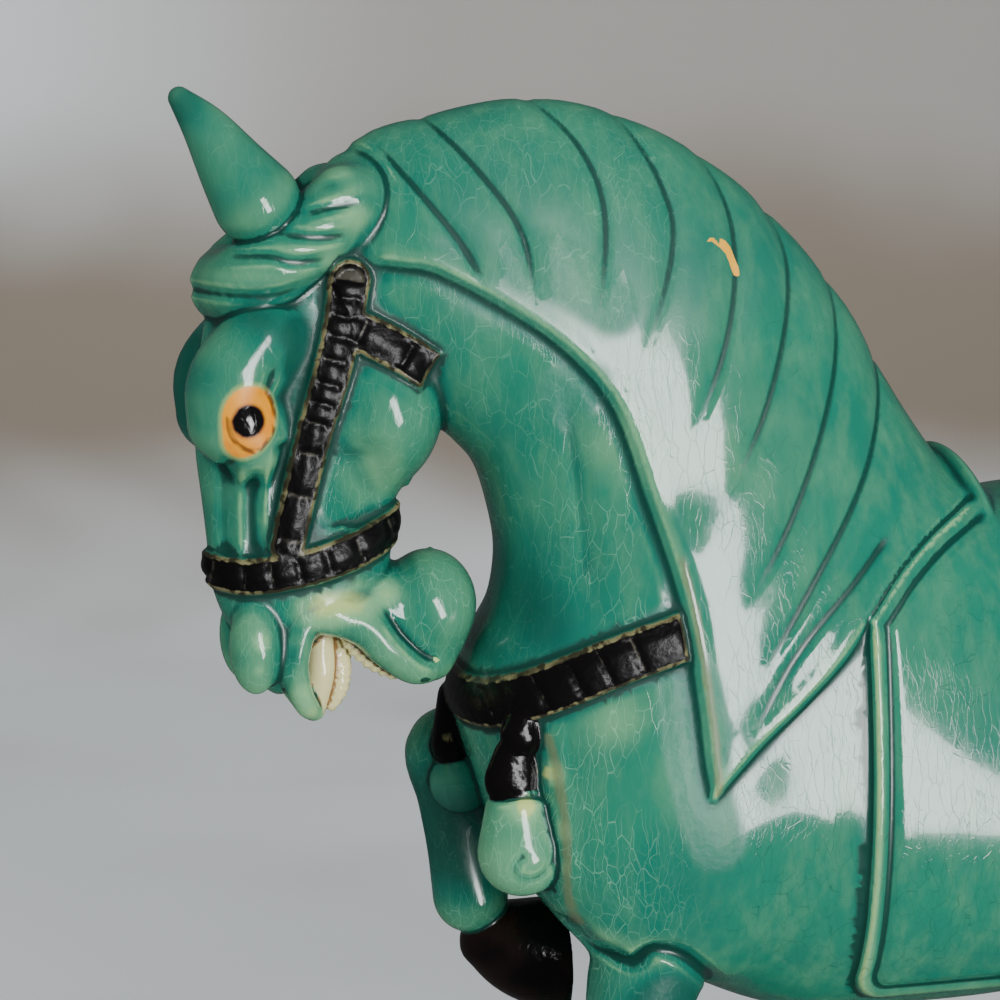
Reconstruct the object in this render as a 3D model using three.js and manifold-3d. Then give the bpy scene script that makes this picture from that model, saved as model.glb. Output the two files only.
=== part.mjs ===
// Glazed ceramic horse figurine: a prancing horse with a deeply arched neck and tucked head, one foreleg
// raised, a segmented bridle and breast strap, a swept forelock and mane, a plain saddle and cloth, all cast
// in one piece with its low slab base.
// Millimetres, +Z up. The horse faces -X and its left side is -Y. The origin is the middle of the slab's
// underside.
// The form is a distance field: swept section fans, limbs and ellipsoids melt into each other, and the mane,
// harness and carved lines stand on or sink into it. The field is sampled, polygonised, simplified and cut
// flat below.

import * as THREE from 'three';
import Module from 'manifold-3d';

// Driving sizes
const SAMPLE_PITCH = 2.2;
const TRIANGLE_BUDGET = 9600;
const HEAD_DETAIL_WEIGHT = 5;
const HEAD_REGION = { maxX: -30, minZ: 180 };
const BOUNDS = new THREE.Box3(new THREE.Vector3(-198, -62, -8), new THREE.Vector3(198, 62, 402));
const FAR = 1e3;

// Neck and trunk, poll to rump: throat or belly point, crest or back point (x, z), half width, squareness
const TRUNK = [
  { lower: [-140, 316], upper: [-158, 361.5], half: 14, power: 2.0 },
  { lower: [-124, 311], upper: [-146, 378.5], half: 18.5, power: 2.0 },
  { lower: [-117, 303], upper: [-121, 387], half: 22, power: 2.1 },
  { lower: [-110, 295], upper: [-92, 391], half: 25, power: 2.2 },
  { lower: [-106, 283], upper: [-62, 383], half: 27, power: 2.2 },
  { lower: [-104, 270], upper: [-35, 366], half: 29.5, power: 2.2 },
  { lower: [-106, 256], upper: [-10, 339], half: 33, power: 2.3 },
  { lower: [-112, 244], upper: [8, 309], half: 38, power: 2.4 },
  { lower: [-115, 229], upper: [24, 289], half: 42, power: 2.5 },
  { lower: [-110, 211], upper: [42, 280], half: 45, power: 2.5 },
  { lower: [-98, 182], upper: [58, 276], half: 47, power: 2.5 },
  { lower: [-66, 158], upper: [70, 274], half: 48.5, power: 2.3 },
  { lower: [-28, 140], upper: [80, 273], half: 49, power: 2.3 },
  { lower: [12, 137], upper: [90, 272], half: 49.5, power: 2.2 },
  { lower: [52, 139], upper: [102, 272], half: 49, power: 2.2 },
  { lower: [92, 148], upper: [120, 273], half: 47, power: 2.2 },
  { lower: [122, 166], upper: [140, 268], half: 42, power: 2.2 },
  { lower: [142, 188], upper: [154, 254], half: 32, power: 2.1 },
  { lower: [152, 208], upper: [160, 238], half: 16, power: 2.0 },
];

// Head, poll to muzzle: face point, jaw point, half width, squareness
const HEAD = [
  { lower: [-170, 356], upper: [-140, 358], half: 10, power: 2.0 },
  { lower: [-178, 347], upper: [-132, 348], half: 15, power: 2.0 },
  { lower: [-182, 335], upper: [-125, 335], half: 17, power: 2.0 },
  { lower: [-184, 322], upper: [-121, 321], half: 17.3, power: 2.0 },
  { lower: [-185, 310], upper: [-122, 309], half: 16.8, power: 2.0 },
  { lower: [-185, 300], upper: [-125.2, 300], half: 15.8, power: 2.0 },
  { lower: [-184, 291], upper: [-130.5, 291], half: 15, power: 2.0 },
  { lower: [-183, 282], upper: [-132.6, 284], half: 14.4, power: 2.0 },
  { lower: [-182, 272], upper: [-133, 276.5], half: 14.2, power: 2.2 },
  { lower: [-181, 264], upper: [-134.5, 269.5], half: 14, power: 2.3 },
  { lower: [-178, 256], upper: [-140, 262.5], half: 13.4, power: 2.3 },
  { lower: [-173, 249], upper: [-148, 255.5], half: 12, power: 2.2 },
  { lower: [-168, 244], upper: [-157, 247], half: 9, power: 2.0 },
];
const HEAD_REACH = -90;
const THROAT = { lowBlend: 0.3, highBlend: 6, minZ: 288, maxZ: 306 };

// Rounded masses: centre, radii, blend, and whether the horse's right side has the same
const CHEEK = { centre: [-136.2, 0, 312], radii: [16.8, 21.6, 22], blend: 5 };
const BROW_TAIL = { centre: [-172, -11.5, 306.5], radii: [9.5, 9.8, 13], blend: 3, paired: true };
const EYEBALL = { centre: [-174, -18.2, 311], radii: [5.2, 4.2, 5.4], blend: 1, paired: true };
const NOSTRIL = { centre: [-171.3, -9, 250], radii: [7, 7.4, 12.8], blend: 2, paired: true };
const CHIN = { centre: [-123, 0, 257.5], radii: [13, 13.5, 15], blend: 3 };
const LIP_FILL = { centre: [-164, 0, 248], radii: [7, 12.6, 13], blend: 2 };
const RUMP = { centre: [130, 0, 222], radii: [50, 46, 50], blend: 12 };
const SHOULDER = { centre: [-62, -24, 196], radii: [34, 22, 40], blend: 16, paired: true };

// Chains of round sections (x, y, z, radius), smoothed between stations; flatten squeezes one sideways
const BROW = {
  stations: [[-177.4, -11.2, 310, 11.2], [-176.4, -12.4, 320, 12], [-169, -12.6, 331, 10.6]],
  blend: 3.5, paired: true,
};
const FORELOCK = {
  stations: [
    [-147.7, -12.5, 366.6, 8.6], [-154.3, -13, 359.2, 9.8], [-165, -12.5, 350.7, 10.6],
    [-172.6, -9.3, 345.2, 10.5], [-176, 0, 343.8, 9.9],
  ],
  blend: 1, paired: true,
};
const NEAR_EAR = {
  stations: [
    [-189.2, -12.5, 392.1, 2.9], [-182.5, -12.5, 384.4, 6], [-175.6, -12.5, 374, 9], [-170, -12.5, 366, 11.3],
  ],
  blend: 0.8,
};
const FAR_EAR = {
  stations: [[-184.6, 11, 391, 2.9], [-178, 11, 383.4, 5.9], [-171.2, 11, 373, 8.7], [-165.6, 11, 365, 11]],
  blend: 0.8,
};
const JAW_BRIDGE = { stations: [[-150, 0, 264, 11], [-132, 0, 256, 11.5], [-122, 0, 248.5, 8.5]], blend: 3 };
const UPPER_LIP = {
  stations: [
    [-150, -9.5, 257.4, 4.2], [-158, -10, 255.8, 4], [-160.9, -10, 247, 3.8], [-160.3, -9, 239, 3.5],
    [-157.6, -6.5, 233, 3.1], [-155, -2.5, 230.4, 2.9],
  ],
  blend: 1.4, paired: true,
};
const LOWER_LIP = {
  stations: [
    [-150, -9, 257.5, 5], [-141.3, -9.5, 253.6, 5.8], [-136.5, -9.5, 248.4, 5.4], [-128.8, -7.5, 242.6, 5.2],
    [-122.4, -3, 242, 5],
  ],
  blend: 4, paired: true,
};
const UPPER_TEETH = {
  stations: [[-152.8, -3.5, 250, 3.2], [-153.4, -4, 241, 4], [-154.6, -2.5, 230.8, 2.8]],
  blend: 0.6, paired: true,
};
const PALATE = {
  stations: [
    [-148.8, -2, 250, 1.8], [-147.8, -2.5, 244, 3], [-148.2, -2.5, 237, 2.9], [-150, -2, 231.8, 1.8],
  ],
  blend: 0.6, paired: true,
};
const LOWER_TEETH = {
  stations: [
    [-146.5, -6, 249.8, 1.6], [-143.8, -6, 246.8, 1.8], [-139.2, -6, 242.9, 1.8], [-133, -4.5, 239.4, 1.5],
  ],
  blend: 0.6, paired: true,
};

const PENDANT_KNOB = {
  stations: [[-102.4, -27.5, 231, 4.6], [-103.8, -27.5, 226.5, 6]], blend: 0.8, flatten: 1.4,
};
const PENDANT_TAB = {
  stations: [[-105, -26.5, 220.5, 6.4], [-106, -26.5, 214.4, 7.8]], blend: 0.8, flatten: 1.7,
};
const PENDANT_DROP = {
  stations: [[-104.2, -25.5, 205, 9.2], [-103.3, -25.5, 194.4, 12]], blend: 0.6, flatten: 1.15,
};
const FAR_TAB = { stations: [[-112, 16, 228, 4.8], [-113, 16, 214, 5.8]], blend: 0.8 };
const FAR_DROP = { centre: [-110.5, 15.5, 203.5], radii: [8.8, 7.5, 8.8], blend: 0.6 };

const RAISED_FORELEG = {
  stations: [
    [-70, 25, 190, 22], [-92, 27, 205, 14.5], [-111.5, 27, 210.5, 11.6], [-110.5, 27, 197, 9.8],
    [-108, 27, 182, 9.5], [-105, 27, 167, 10.8],
  ],
  blend: 7,
};
const RAISED_HOOF = {
  stations: [[-101.5, 27, 152, 6.5], [-97, 27, 153, 10.5], [-88, 27, 149.5, 14.5], [-73, 27, 146, 18]],
  blend: 1.5, soleX: -79,
};
const NEAR_FORELEG = {
  stations: [
    [-58, -21, 180, 19], [-70, -24, 150, 14.5], [-68.5, -27, 120, 11], [-68, -27, 99, 10],
    [-67, -27, 74, 7.4], [-67, -27, 46, 9], [-70, -27, 34, 9.5],
  ],
  blend: 3,
};
const NEAR_HINDLEG = {
  stations: [
    [132, -17, 205, 33], [117, -24, 168, 23], [136, -27, 137, 14.5], [153, -28, 116, 11], [150, -28, 84, 8],
    [146, -28, 48, 9.6], [142, -28, 34, 9.8],
  ],
  blend: 12,
};
const FAR_HINDLEG = {
  stations: [
    [130, 17, 205, 33], [110, 24, 169, 23], [124, 27, 137, 14.5], [139, 28, 116, 11], [132, 28, 84, 8],
    [124, 28, 48, 9.6], [119, 28, 34, 9.8],
  ],
  blend: 12,
};
const HOOF = {
  topRadius: 10, soleRadius: 15.5, lean: 4, blend: 1, sideStretch: 1.08, taper: 0.95, overlap: 2, past: 0.3,
};
const TAIL = {
  stations: [
    [163, 0, 250, 11], [175.5, 0, 252, 9.5], [180.4, 0, 238, 10.5], [181.4, 0, 220, 9.5], [178.4, 0, 200, 7],
    [177.4, 0, 184, 3.5],
  ],
  blend: 4,
};

const BASE = { minX: -104, maxX: 172, halfY: 48, top: 12, corner: 16, edge: 2.5, blend: 1.2, trim: 4 };
const SADDLE = {
  centre: [57, 0, 273], radii: [36, 32, 12], thick: 6, rise: 24, halfY: 30, blend: 2, archBlend: 6,
  pommel: { x: 29, lean: -0.25 }, cantle: { x: 87, lean: 0.35 },
};

// Harness bands and carved lines, as curves in the side view (x, z)
const STRAP_HEIGHT = 1.9;
const STRAP_EDGE = 0.9;
const STRAP_GAP = 1.5;
const STRAP_REACH = 14;
const CHEEK_STRAP = {
  path: [[-147, 346], [-149, 334], [-153, 319], [-157, 305], [-163.5, 277]], halfStart: 5.4, halfEnd: 4.4,
};
const BRANCH_STRAP = {
  path: [[-148, 334.5], [-136, 328.5], [-126, 322.3]], halfStart: 5.2, halfEnd: 5.2, squareEnd: true,
};
const NOSEBAND = {
  path: [[-192, 271.5], [-176, 269], [-162, 270.5], [-146, 274.8], [-126, 283]], halfStart: 4.6, halfEnd: 5,
};
const BREAST_STRAP = {
  path: [[-127, 230.5], [-113, 233], [-104, 236.6], [-90, 243.3], [-77, 249], [-54, 257]],
  halfStart: 6, halfEnd: 6.2,
};
const CRUPPER_STRAP = { path: [[98, 226], [125, 231], [150, 240], [172, 248]], halfStart: 5, halfEnd: 5 };

const MANE = {
  border: [
    [-151, 352], [-134, 350], [-124.5, 348], [-108.5, 339.5], [-92, 328], [-79, 312.5], [-71, 289],
    [-65, 268], [-62, 252], [-60, 235], [-59, 222], [-57.5, 212],
  ],
  lower: [
    [-57.5, 212], [-45.4, 224], [-33.4, 234.5], [-21.7, 246], [-12.5, 258], [-2, 270], [13, 280], [40, 290],
  ],
  locks: [
    [[-143, 386], [-127, 366], [-118, 354], [-112, 342]],
    [[-130, 393], [-113, 373], [-103, 357], [-99.5, 336]],
    [[-101, 397], [-86, 379], [-81, 360], [-85, 327]],
    [[-76, 393], [-65, 371], [-63, 353], [-74, 319]],
    [[-52, 383], [-45, 359], [-49, 330], [-62, 299]],
    [[-33, 371], [-29, 347], [-38, 314], [-52, 286]],
    [[-12, 353], [-18, 320], [-33, 284], [-49, 258]],
    [[5, 337], [-9, 298], [-30, 264], [-50, 234]],
    [[-4, 280], [-17, 266], [-34, 248], [-50, 222]],
  ],
  lowest: 205, insideX: -60, endX: 40, reach: 70, raise: 1.5, step: 1.7,
  ridge: { at: 2.2, height: 0.6, width: 2.6 },
  moat: { at: -2.6, depth: 0.5, width: 2.4 },
  lock: { depth: 1.1, half: 2.8, fadeStart: 0.16, fadeEnd: 0.3 },
  start: { minX: -146, maxX: -136 },
};
const CARVED_LINES = [
  {
    path: [
      [-157, 374], [-152, 378], [-146, 379], [-139.6, 376.6], [-137, 370], [-138.6, 361], [-144.5, 350.5],
    ],
    depth: 0.8, half: 2.6, fadeStart: 0.2, fadeEnd: 0.2,
  },
  { path: [[-142, 366.2], [-151.4, 364.6], [-162, 362]], depth: 1, half: 2.4, fadeStart: 0.4, fadeEnd: 0.3 },
  {
    path: [[-144, 358.6], [-155.4, 357.1], [-170, 358.4]],
    depth: 1, half: 2.5, fadeStart: 0.4, fadeEnd: 0.3,
  },
  { path: [[-147.5, 353], [-160.6, 351.1], [-169.5, 352.4], [-183, 351.5]], depth: 1, half: 2.5 },
  { path: [[-153, 347.4], [-165.5, 343.2], [-175, 342.6], [-189, 343.6]], depth: 1, half: 2.5 },
  { path: [[-178.6, 303], [-178.2, 268]], depth: 1, half: 3.2 },
  { path: [[-172, 299], [-171.8, 268]], depth: 1.2, half: 3.4 },
  { path: [[-165, 306], [-165.5, 292], [-166.5, 268]], depth: 1, half: 3.4 },
  { path: [[-170.4, 316.5], [-168.8, 320.4], [-167.6, 324], [-165.6, 329]], depth: 1.2, half: 2.4 },
  {
    path: [[-139.5, 261], [-133.9, 252.6], [-130.1, 248.1], [-125.8, 244.6], [-118.5, 242]],
    depth: 1, half: 2.6, fadeStart: 0.2, fadeEnd: 0.3,
  },
  { path: [[-93, 322], [-90.3, 309], [-87.4, 290], [-86.3, 270], [-88.8, 254]], depth: 0.9, half: 4.4 },
  { path: [[-96.5, 232], [-95, 216], [-94.2, 200], [-92.8, 184]], depth: -0.6, half: 3.4 },
  { path: [[-143.5, 307], [-145.5, 281]], depth: 1.2, half: 11, fadeStart: 0.25, fadeEnd: 0.01 },
];
const LEG_FOLD = {
  path: [
    [-94, 179], [-87, 170.5], [-81, 167], [-75.5, 165], [-70.5, 169], [-63, 167], [-54, 159], [-46, 151],
  ],
  depth: 2.2, half: 3.8, innerY: 16, outerY: 26,
};
const CLOTH = {
  frontTop: [-14, 262], frontBottom: [-12, 150], backX: 98, bottomZ: 147, corner: 10, raise: 2.2,
  seam: 4.6, seamDepth: 0.9, seamWidth: 1.4, edge: 0.8, veil: 0.65,
};

const clamp = THREE.MathUtils.clamp;
const lerp = THREE.MathUtils.lerp;

/** Joins two distances with a fillet about as wide as blend. */
function smoothUnion(a, b, blend) {
  const overlap = Math.max(blend - Math.abs(a - b), 0) / blend;
  return Math.min(a, b) - overlap * overlap * blend / 4;
}

/** Joins several parts to a distance, each with its own fillet. */
function joined(start, parts, x, y, z) {
  return parts.reduce((d, part) => smoothUnion(d, part.distance(x, y, z), part.blend), start);
}

/** Rises smoothly from 0 to 1 while value goes from start to end. */
function ramp(value, start, end) {
  const t = clamp((value - start) / (end - start), 0, 1);
  return t * t * (3 - 2 * t);
}

/** A soft bump of height 1 at a place. */
function bell(value, at, width) {
  return Math.exp(-(((value - at) / width) ** 2));
}

/** A curve in the side view, kept as short straight pieces. */
class SideCurve {
  constructor(points, pieces = 24) {
    const spline = new THREE.SplineCurve(points.map(([x, z]) => new THREE.Vector2(x, z)));
    this.points = spline.getPoints(pieces);
    this.box = new THREE.Box2().setFromPoints(this.points);
  }

  /** Distance to the curve, how far along it (0 to 1), and on which side the point lies. */
  nearest(x, z, reach) {
    const { min, max } = this.box;
    if (x < min.x - reach || x > max.x + reach || z < min.y - reach || z > max.y + reach) {
      return { distance: FAR, along: 0, side: 0 };
    }
    const last = this.points.length - 1;
    let best = { distance: FAR, along: 0, side: 0 };
    for (let i = 0; i < last; i += 1) {
      const a = this.points[i];
      const b = this.points[i + 1];
      const dx = b.x - a.x;
      const dz = b.y - a.y;
      const t = clamp(((x - a.x) * dx + (z - a.y) * dz) / (dx * dx + dz * dz), 0, 1);
      const offX = x - a.x - t * dx;
      const offZ = z - a.y - t * dz;
      const distance = Math.hypot(offX, offZ);
      if (distance < best.distance) {
        best = { distance, along: (i + t) / last, side: Math.sign(dx * offZ - dz * offX) };
      }
    }
    return best;
  }
}

/** A body swept through a fan of sections, each square to the side view and superelliptic across it. */
class SectionFan {
  constructor(stations, lines = 120) {
    const column = (pick) => new THREE.CatmullRomCurve3(stations.map(pick), false, 'catmullrom', 0.5);
    const lower = column((s) => new THREE.Vector3(s.lower[0], 0, s.lower[1]));
    const upper = column((s) => new THREE.Vector3(s.upper[0], 0, s.upper[1]));
    const girth = column((s) => new THREE.Vector3(s.half, s.power, 0));
    this.lines = [];
    for (let i = 0; i <= lines; i += 1) {
      const a = lower.getPoint(i / lines);
      const b = upper.getPoint(i / lines);
      const g = girth.getPoint(i / lines);
      this.lines.push({ ax: a.x, az: a.z, bx: b.x, bz: b.z, half: g.x, power: g.y });
    }
  }

  /**
   * The section through a side-view point: place across it (-1 to 1), half depth, half width and squareness,
   * or null where no section passes.
   */
  sectionAt(x, z) {
    let found = null;
    let previous = this.sideOf(this.lines[0], x, z);
    for (let i = 1; i < this.lines.length; i += 1) {
      const current = this.sideOf(this.lines[i], x, z);
      if ((previous > 0) !== (current > 0)) {
        const section = this.between(this.lines[i - 1], this.lines[i], previous / (previous - current), x, z);
        if (found === null || Math.abs(section.across) < Math.abs(found.across)) {
          found = section;
        }
      }
      previous = current;
    }
    return found;
  }

  sideOf(line, x, z) {
    return (line.bx - line.ax) * (z - line.az) - (line.bz - line.az) * (x - line.ax);
  }

  between(first, second, t, x, z) {
    const ax = lerp(first.ax, second.ax, t);
    const az = lerp(first.az, second.az, t);
    const bx = lerp(first.bx, second.bx, t);
    const bz = lerp(first.bz, second.bz, t);
    const depth = Math.hypot(bx - ax, bz - az) / 2;
    const across = ((x - (ax + bx) / 2) * (bx - ax) + (z - (az + bz) / 2) * (bz - az)) / (2 * depth * depth);
    const half = lerp(first.half, second.half, t);
    return { across, depth, half, power: lerp(first.power, second.power, t) };
  }

  /** Distance of a point whose section is already known. */
  static distance(section, y) {
    if (section === null) {
      return FAR;
    }
    const u = Math.abs(section.across) + 1e-6;
    const v = Math.abs(y) / section.half + 1e-6;
    const rho = (u ** section.power + v ** section.power) ** (1 / section.power);
    const slopeU = (u / rho) ** (section.power - 1) / section.depth;
    const slopeV = (v / rho) ** (section.power - 1) / section.half;
    return (rho - 1) / Math.hypot(slopeU, slopeV);
  }
}

/** A rounded mass. */
class Ellipsoid {
  constructor({ centre, radii, blend, paired = false }) {
    Object.assign(this, { centre, radii, blend, paired });
  }

  distance(x, y, z) {
    const side = this.paired ? -Math.abs(y) : y;
    const [cx, cy, cz] = this.centre;
    const [rx, ry, rz] = this.radii;
    const scaled = Math.hypot((x - cx) / rx, (side - cy) / ry, (z - cz) / rz);
    const slope = Math.hypot((x - cx) / (rx * rx), (side - cy) / (ry * ry), (z - cz) / (rz * rz));
    return slope < 1e-9 ? -Math.min(rx, ry, rz) : scaled * (scaled - 1) / slope;
  }
}

/** A limb, lip, lock or tail: round sections strung along a smooth curve and joined by round cones. */
class Limb {
  constructor({ stations, blend, paired = false, flatten = 1 }, steps = 6) {
    const curve = (pick) => new THREE.CatmullRomCurve3(stations.map(pick), false, 'catmullrom', 0.5);
    const path = curve(([x, y, z]) => new THREE.Vector3(x, y * flatten, z));
    const girth = curve(([, , , radius]) => new THREE.Vector3(radius, 0, 0));
    const count = (stations.length - 1) * steps;
    Object.assign(this, { blend, paired, flatten });
    this.cones = [];
    this.box = new THREE.Box3();
    let start = null;
    for (let i = 0; i <= count; i += 1) {
      const end = { place: path.getPoint(i / count), radius: girth.getPoint(i / count).x };
      this.box.expandByPoint(end.place.clone().subScalar(end.radius));
      this.box.expandByPoint(end.place.clone().addScalar(end.radius));
      if (start !== null) {
        this.cones.push(this.coneBetween(start, end));
      }
      start = end;
    }
    this.box.expandByScalar(blend + 3 * SAMPLE_PITCH);
  }

  coneBetween(start, end) {
    const axis = end.place.clone().sub(start.place);
    const length = axis.length();
    const slope = clamp((end.radius - start.radius) / length, -0.95, 0.95);
    return {
      place: start.place, radius: start.radius, axis: axis.normalize(), length, slope,
      lean: slope / Math.sqrt(1 - slope * slope),
    };
  }

  distance(x, y, z) {
    const side = (this.paired ? -Math.abs(y) : y) * this.flatten;
    const { min, max } = this.box;
    if (x < min.x || x > max.x || side < min.y || side > max.y || z < min.z || z > max.z) {
      return FAR;
    }
    let nearest = FAR;
    for (const { place, radius, axis, length, slope, lean } of this.cones) {
      const dx = x - place.x;
      const dy = side - place.y;
      const dz = z - place.z;
      const along = dx * axis.x + dy * axis.y + dz * axis.z;
      const off = Math.sqrt(Math.max(dx * dx + dy * dy + dz * dz - along * along, 0));
      const foot = clamp(along + off * lean, 0, length);
      nearest = Math.min(nearest, Math.hypot(off, along - foot) - radius - slope * foot);
    }
    return nearest;
  }
}

/** Distance to the slab with rounded corners that the hooves stand on. */
function slabDistance(x, y, z) {
  const qx = Math.abs(x - (BASE.minX + BASE.maxX) / 2) - (BASE.maxX - BASE.minX) / 2 + BASE.corner;
  const qy = Math.abs(y) - BASE.halfY + BASE.corner;
  const plan = Math.hypot(Math.max(qx, 0), Math.max(qy, 0)) + Math.min(Math.max(qx, qy), 0) - BASE.corner;
  const rim = plan + BASE.edge;
  const height = z - BASE.top + BASE.edge;
  const outside = Math.hypot(Math.max(rim, 0), Math.max(height, 0));
  return Math.max(outside + Math.min(Math.max(rim, height), 0) - BASE.edge, -BASE.trim - z);
}

/** Distance to a standing hoof, a cone that spreads to the slab under the last bead of its leg. */
function hoofDistance(x, y, z, [legX, legY, legZ]) {
  const down = clamp((legZ - z) / (legZ - BASE.top), -HOOF.past, 1 + HOOF.past);
  const radius = lerp(HOOF.topRadius, HOOF.soleRadius, down);
  const round = Math.hypot(x - legX + HOOF.lean * down, (y - legY) * HOOF.sideStretch) - radius;
  return Math.max(round * HOOF.taper, z - legZ - HOOF.overlap, BASE.top - HOOF.overlap - z);
}

/** A harness band that lies on the body. */
class Band {
  constructor({ path, halfStart, halfEnd, squareEnd = false }) {
    this.curve = new SideCurve(path, 40);
    Object.assign(this, { halfStart, halfEnd, squareEnd });
  }

  /** How far inside the band's edge a side-view point lies. */
  inside(x, z) {
    const { distance, along } = this.curve.nearest(x, z, STRAP_REACH);
    const inside = lerp(this.halfStart, this.halfEnd, along) - distance;
    const [a, b] = this.curve.points.slice(-2);
    const past = ((x - b.x) * (b.x - a.x) + (z - b.y) * (b.y - a.y)) / a.distanceTo(b);
    return this.squareEnd ? Math.min(inside, -past) : inside;
  }

  /** How high a strap stands, given how far inside its edge a point lies. */
  static height(inside) {
    return STRAP_HEIGHT * ramp(inside, -STRAP_EDGE, STRAP_EDGE);
  }
}

/** A carved line in the side view that dies out at its ends. */
class Groove {
  constructor({ path, depth, half, fadeStart = 0.1, fadeEnd = 0.14 }) {
    this.curve = new SideCurve(path);
    Object.assign(this, { depth, half, fadeStart, fadeEnd });
  }

  depthAt(x, z) {
    const { distance, along } = this.curve.nearest(x, z, this.half);
    if (distance >= this.half) {
      return 0;
    }
    const fade = ramp(along, 0, this.fadeStart) * ramp(1 - along, 0, this.fadeEnd);
    return this.depth * (1 - (distance / this.half) ** 2) ** 2 * fade;
  }
}

/** Relief of the mane: a raised sheet of locks with a rolled border and a moat in front of it. */
class Mane {
  constructor() {
    this.border = new SideCurve(MANE.border, 48);
    this.lower = new SideCurve(MANE.lower, 36);
    this.locks = MANE.locks.map((path) => new Groove({ path, ...MANE.lock }));
  }

  /** The relief's height and how far inside the mane's edge a side-view point lies. */
  lay(x, z) {
    const border = this.border.nearest(x, z, MANE.reach);
    const lower = this.lower.nearest(x, z, MANE.reach);
    const beyondBorder = border.distance === FAR ? x > MANE.insideX : border.side > 0;
    const overLower = lower.distance === FAR ? x < MANE.endX : lower.side > 0;
    const within = beyondBorder && overLower && z > MANE.lowest;
    const gap = Math.min(border.distance, lower.distance);
    const inside = within ? gap : -gap;
    const sheet = MANE.raise * ramp(inside, -MANE.step, MANE.step);
    const ridge = MANE.ridge.height * bell(inside, MANE.ridge.at, MANE.ridge.width);
    const moat = MANE.moat.depth * bell(inside, MANE.moat.at, MANE.moat.width);
    const locks = within ? Math.max(...this.locks.map((lock) => lock.depthAt(x, z))) : 0;
    const height = (sheet + ridge - moat - locks) * ramp(x, MANE.start.minX, MANE.start.maxX);
    return { height, inside };
  }
}

/** How far inside the saddle cloth's edge a side-view point lies. */
function clothInside(x, z) {
  const lean = (z - CLOTH.frontBottom[1]) / (CLOTH.frontTop[1] - CLOTH.frontBottom[1]);
  const front = lerp(CLOTH.frontBottom[0], CLOTH.frontTop[0], lean);
  const qx = Math.max(front - x, x - CLOTH.backX) + CLOTH.corner;
  const qz = CLOTH.bottomZ - z + CLOTH.corner;
  return CLOTH.corner - Math.hypot(Math.max(qx, 0), Math.max(qz, 0)) - Math.min(Math.max(qx, qz), 0);
}

/** Height of the saddle cloth over the trunk, with a sunk seam inside its edge. */
function clothHeight(inside) {
  return CLOTH.raise * ramp(inside, -CLOTH.edge, CLOTH.edge)
    - CLOTH.seamDepth * bell(inside, CLOTH.seam, CLOTH.seamWidth);
}

/** Everything that stands on or sinks into the horse, as heights over a side-view point. */
class SideRelief {
  constructor() {
    this.mane = new Mane();
    this.bands = [CHEEK_STRAP, BRANCH_STRAP, NOSEBAND, CRUPPER_STRAP].map((band) => new Band(band));
    this.breast = new Band(BREAST_STRAP);
    this.lines = CARVED_LINES.map((line) => new Groove(line));
    this.fold = new Groove(LEG_FOLD);
  }

  at(x, z) {
    const mane = this.mane.lay(x, z);
    const band = Math.max(...this.bands.map((b) => b.inside(x, z)));
    const chest = Math.min(this.breast.inside(x, z), -mane.inside - STRAP_GAP);
    const bare = 1 - ramp(Math.max(band, chest), -STRAP_EDGE, STRAP_EDGE);
    const lines = this.lines.reduce((sum, line) => sum + line.depthAt(x, z), 0);
    const cloth = Math.min(clothInside(x, z), -mane.inside);
    const carved = (mane.height - lines) * (1 - CLOTH.veil * ramp(cloth, -1, 1));
    return {
      body: Band.height(band) + bare * (carved + clothHeight(cloth)),
      chest: Band.height(chest),
      fold: this.fold.depthAt(x, z),
    };
  }
}

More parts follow.
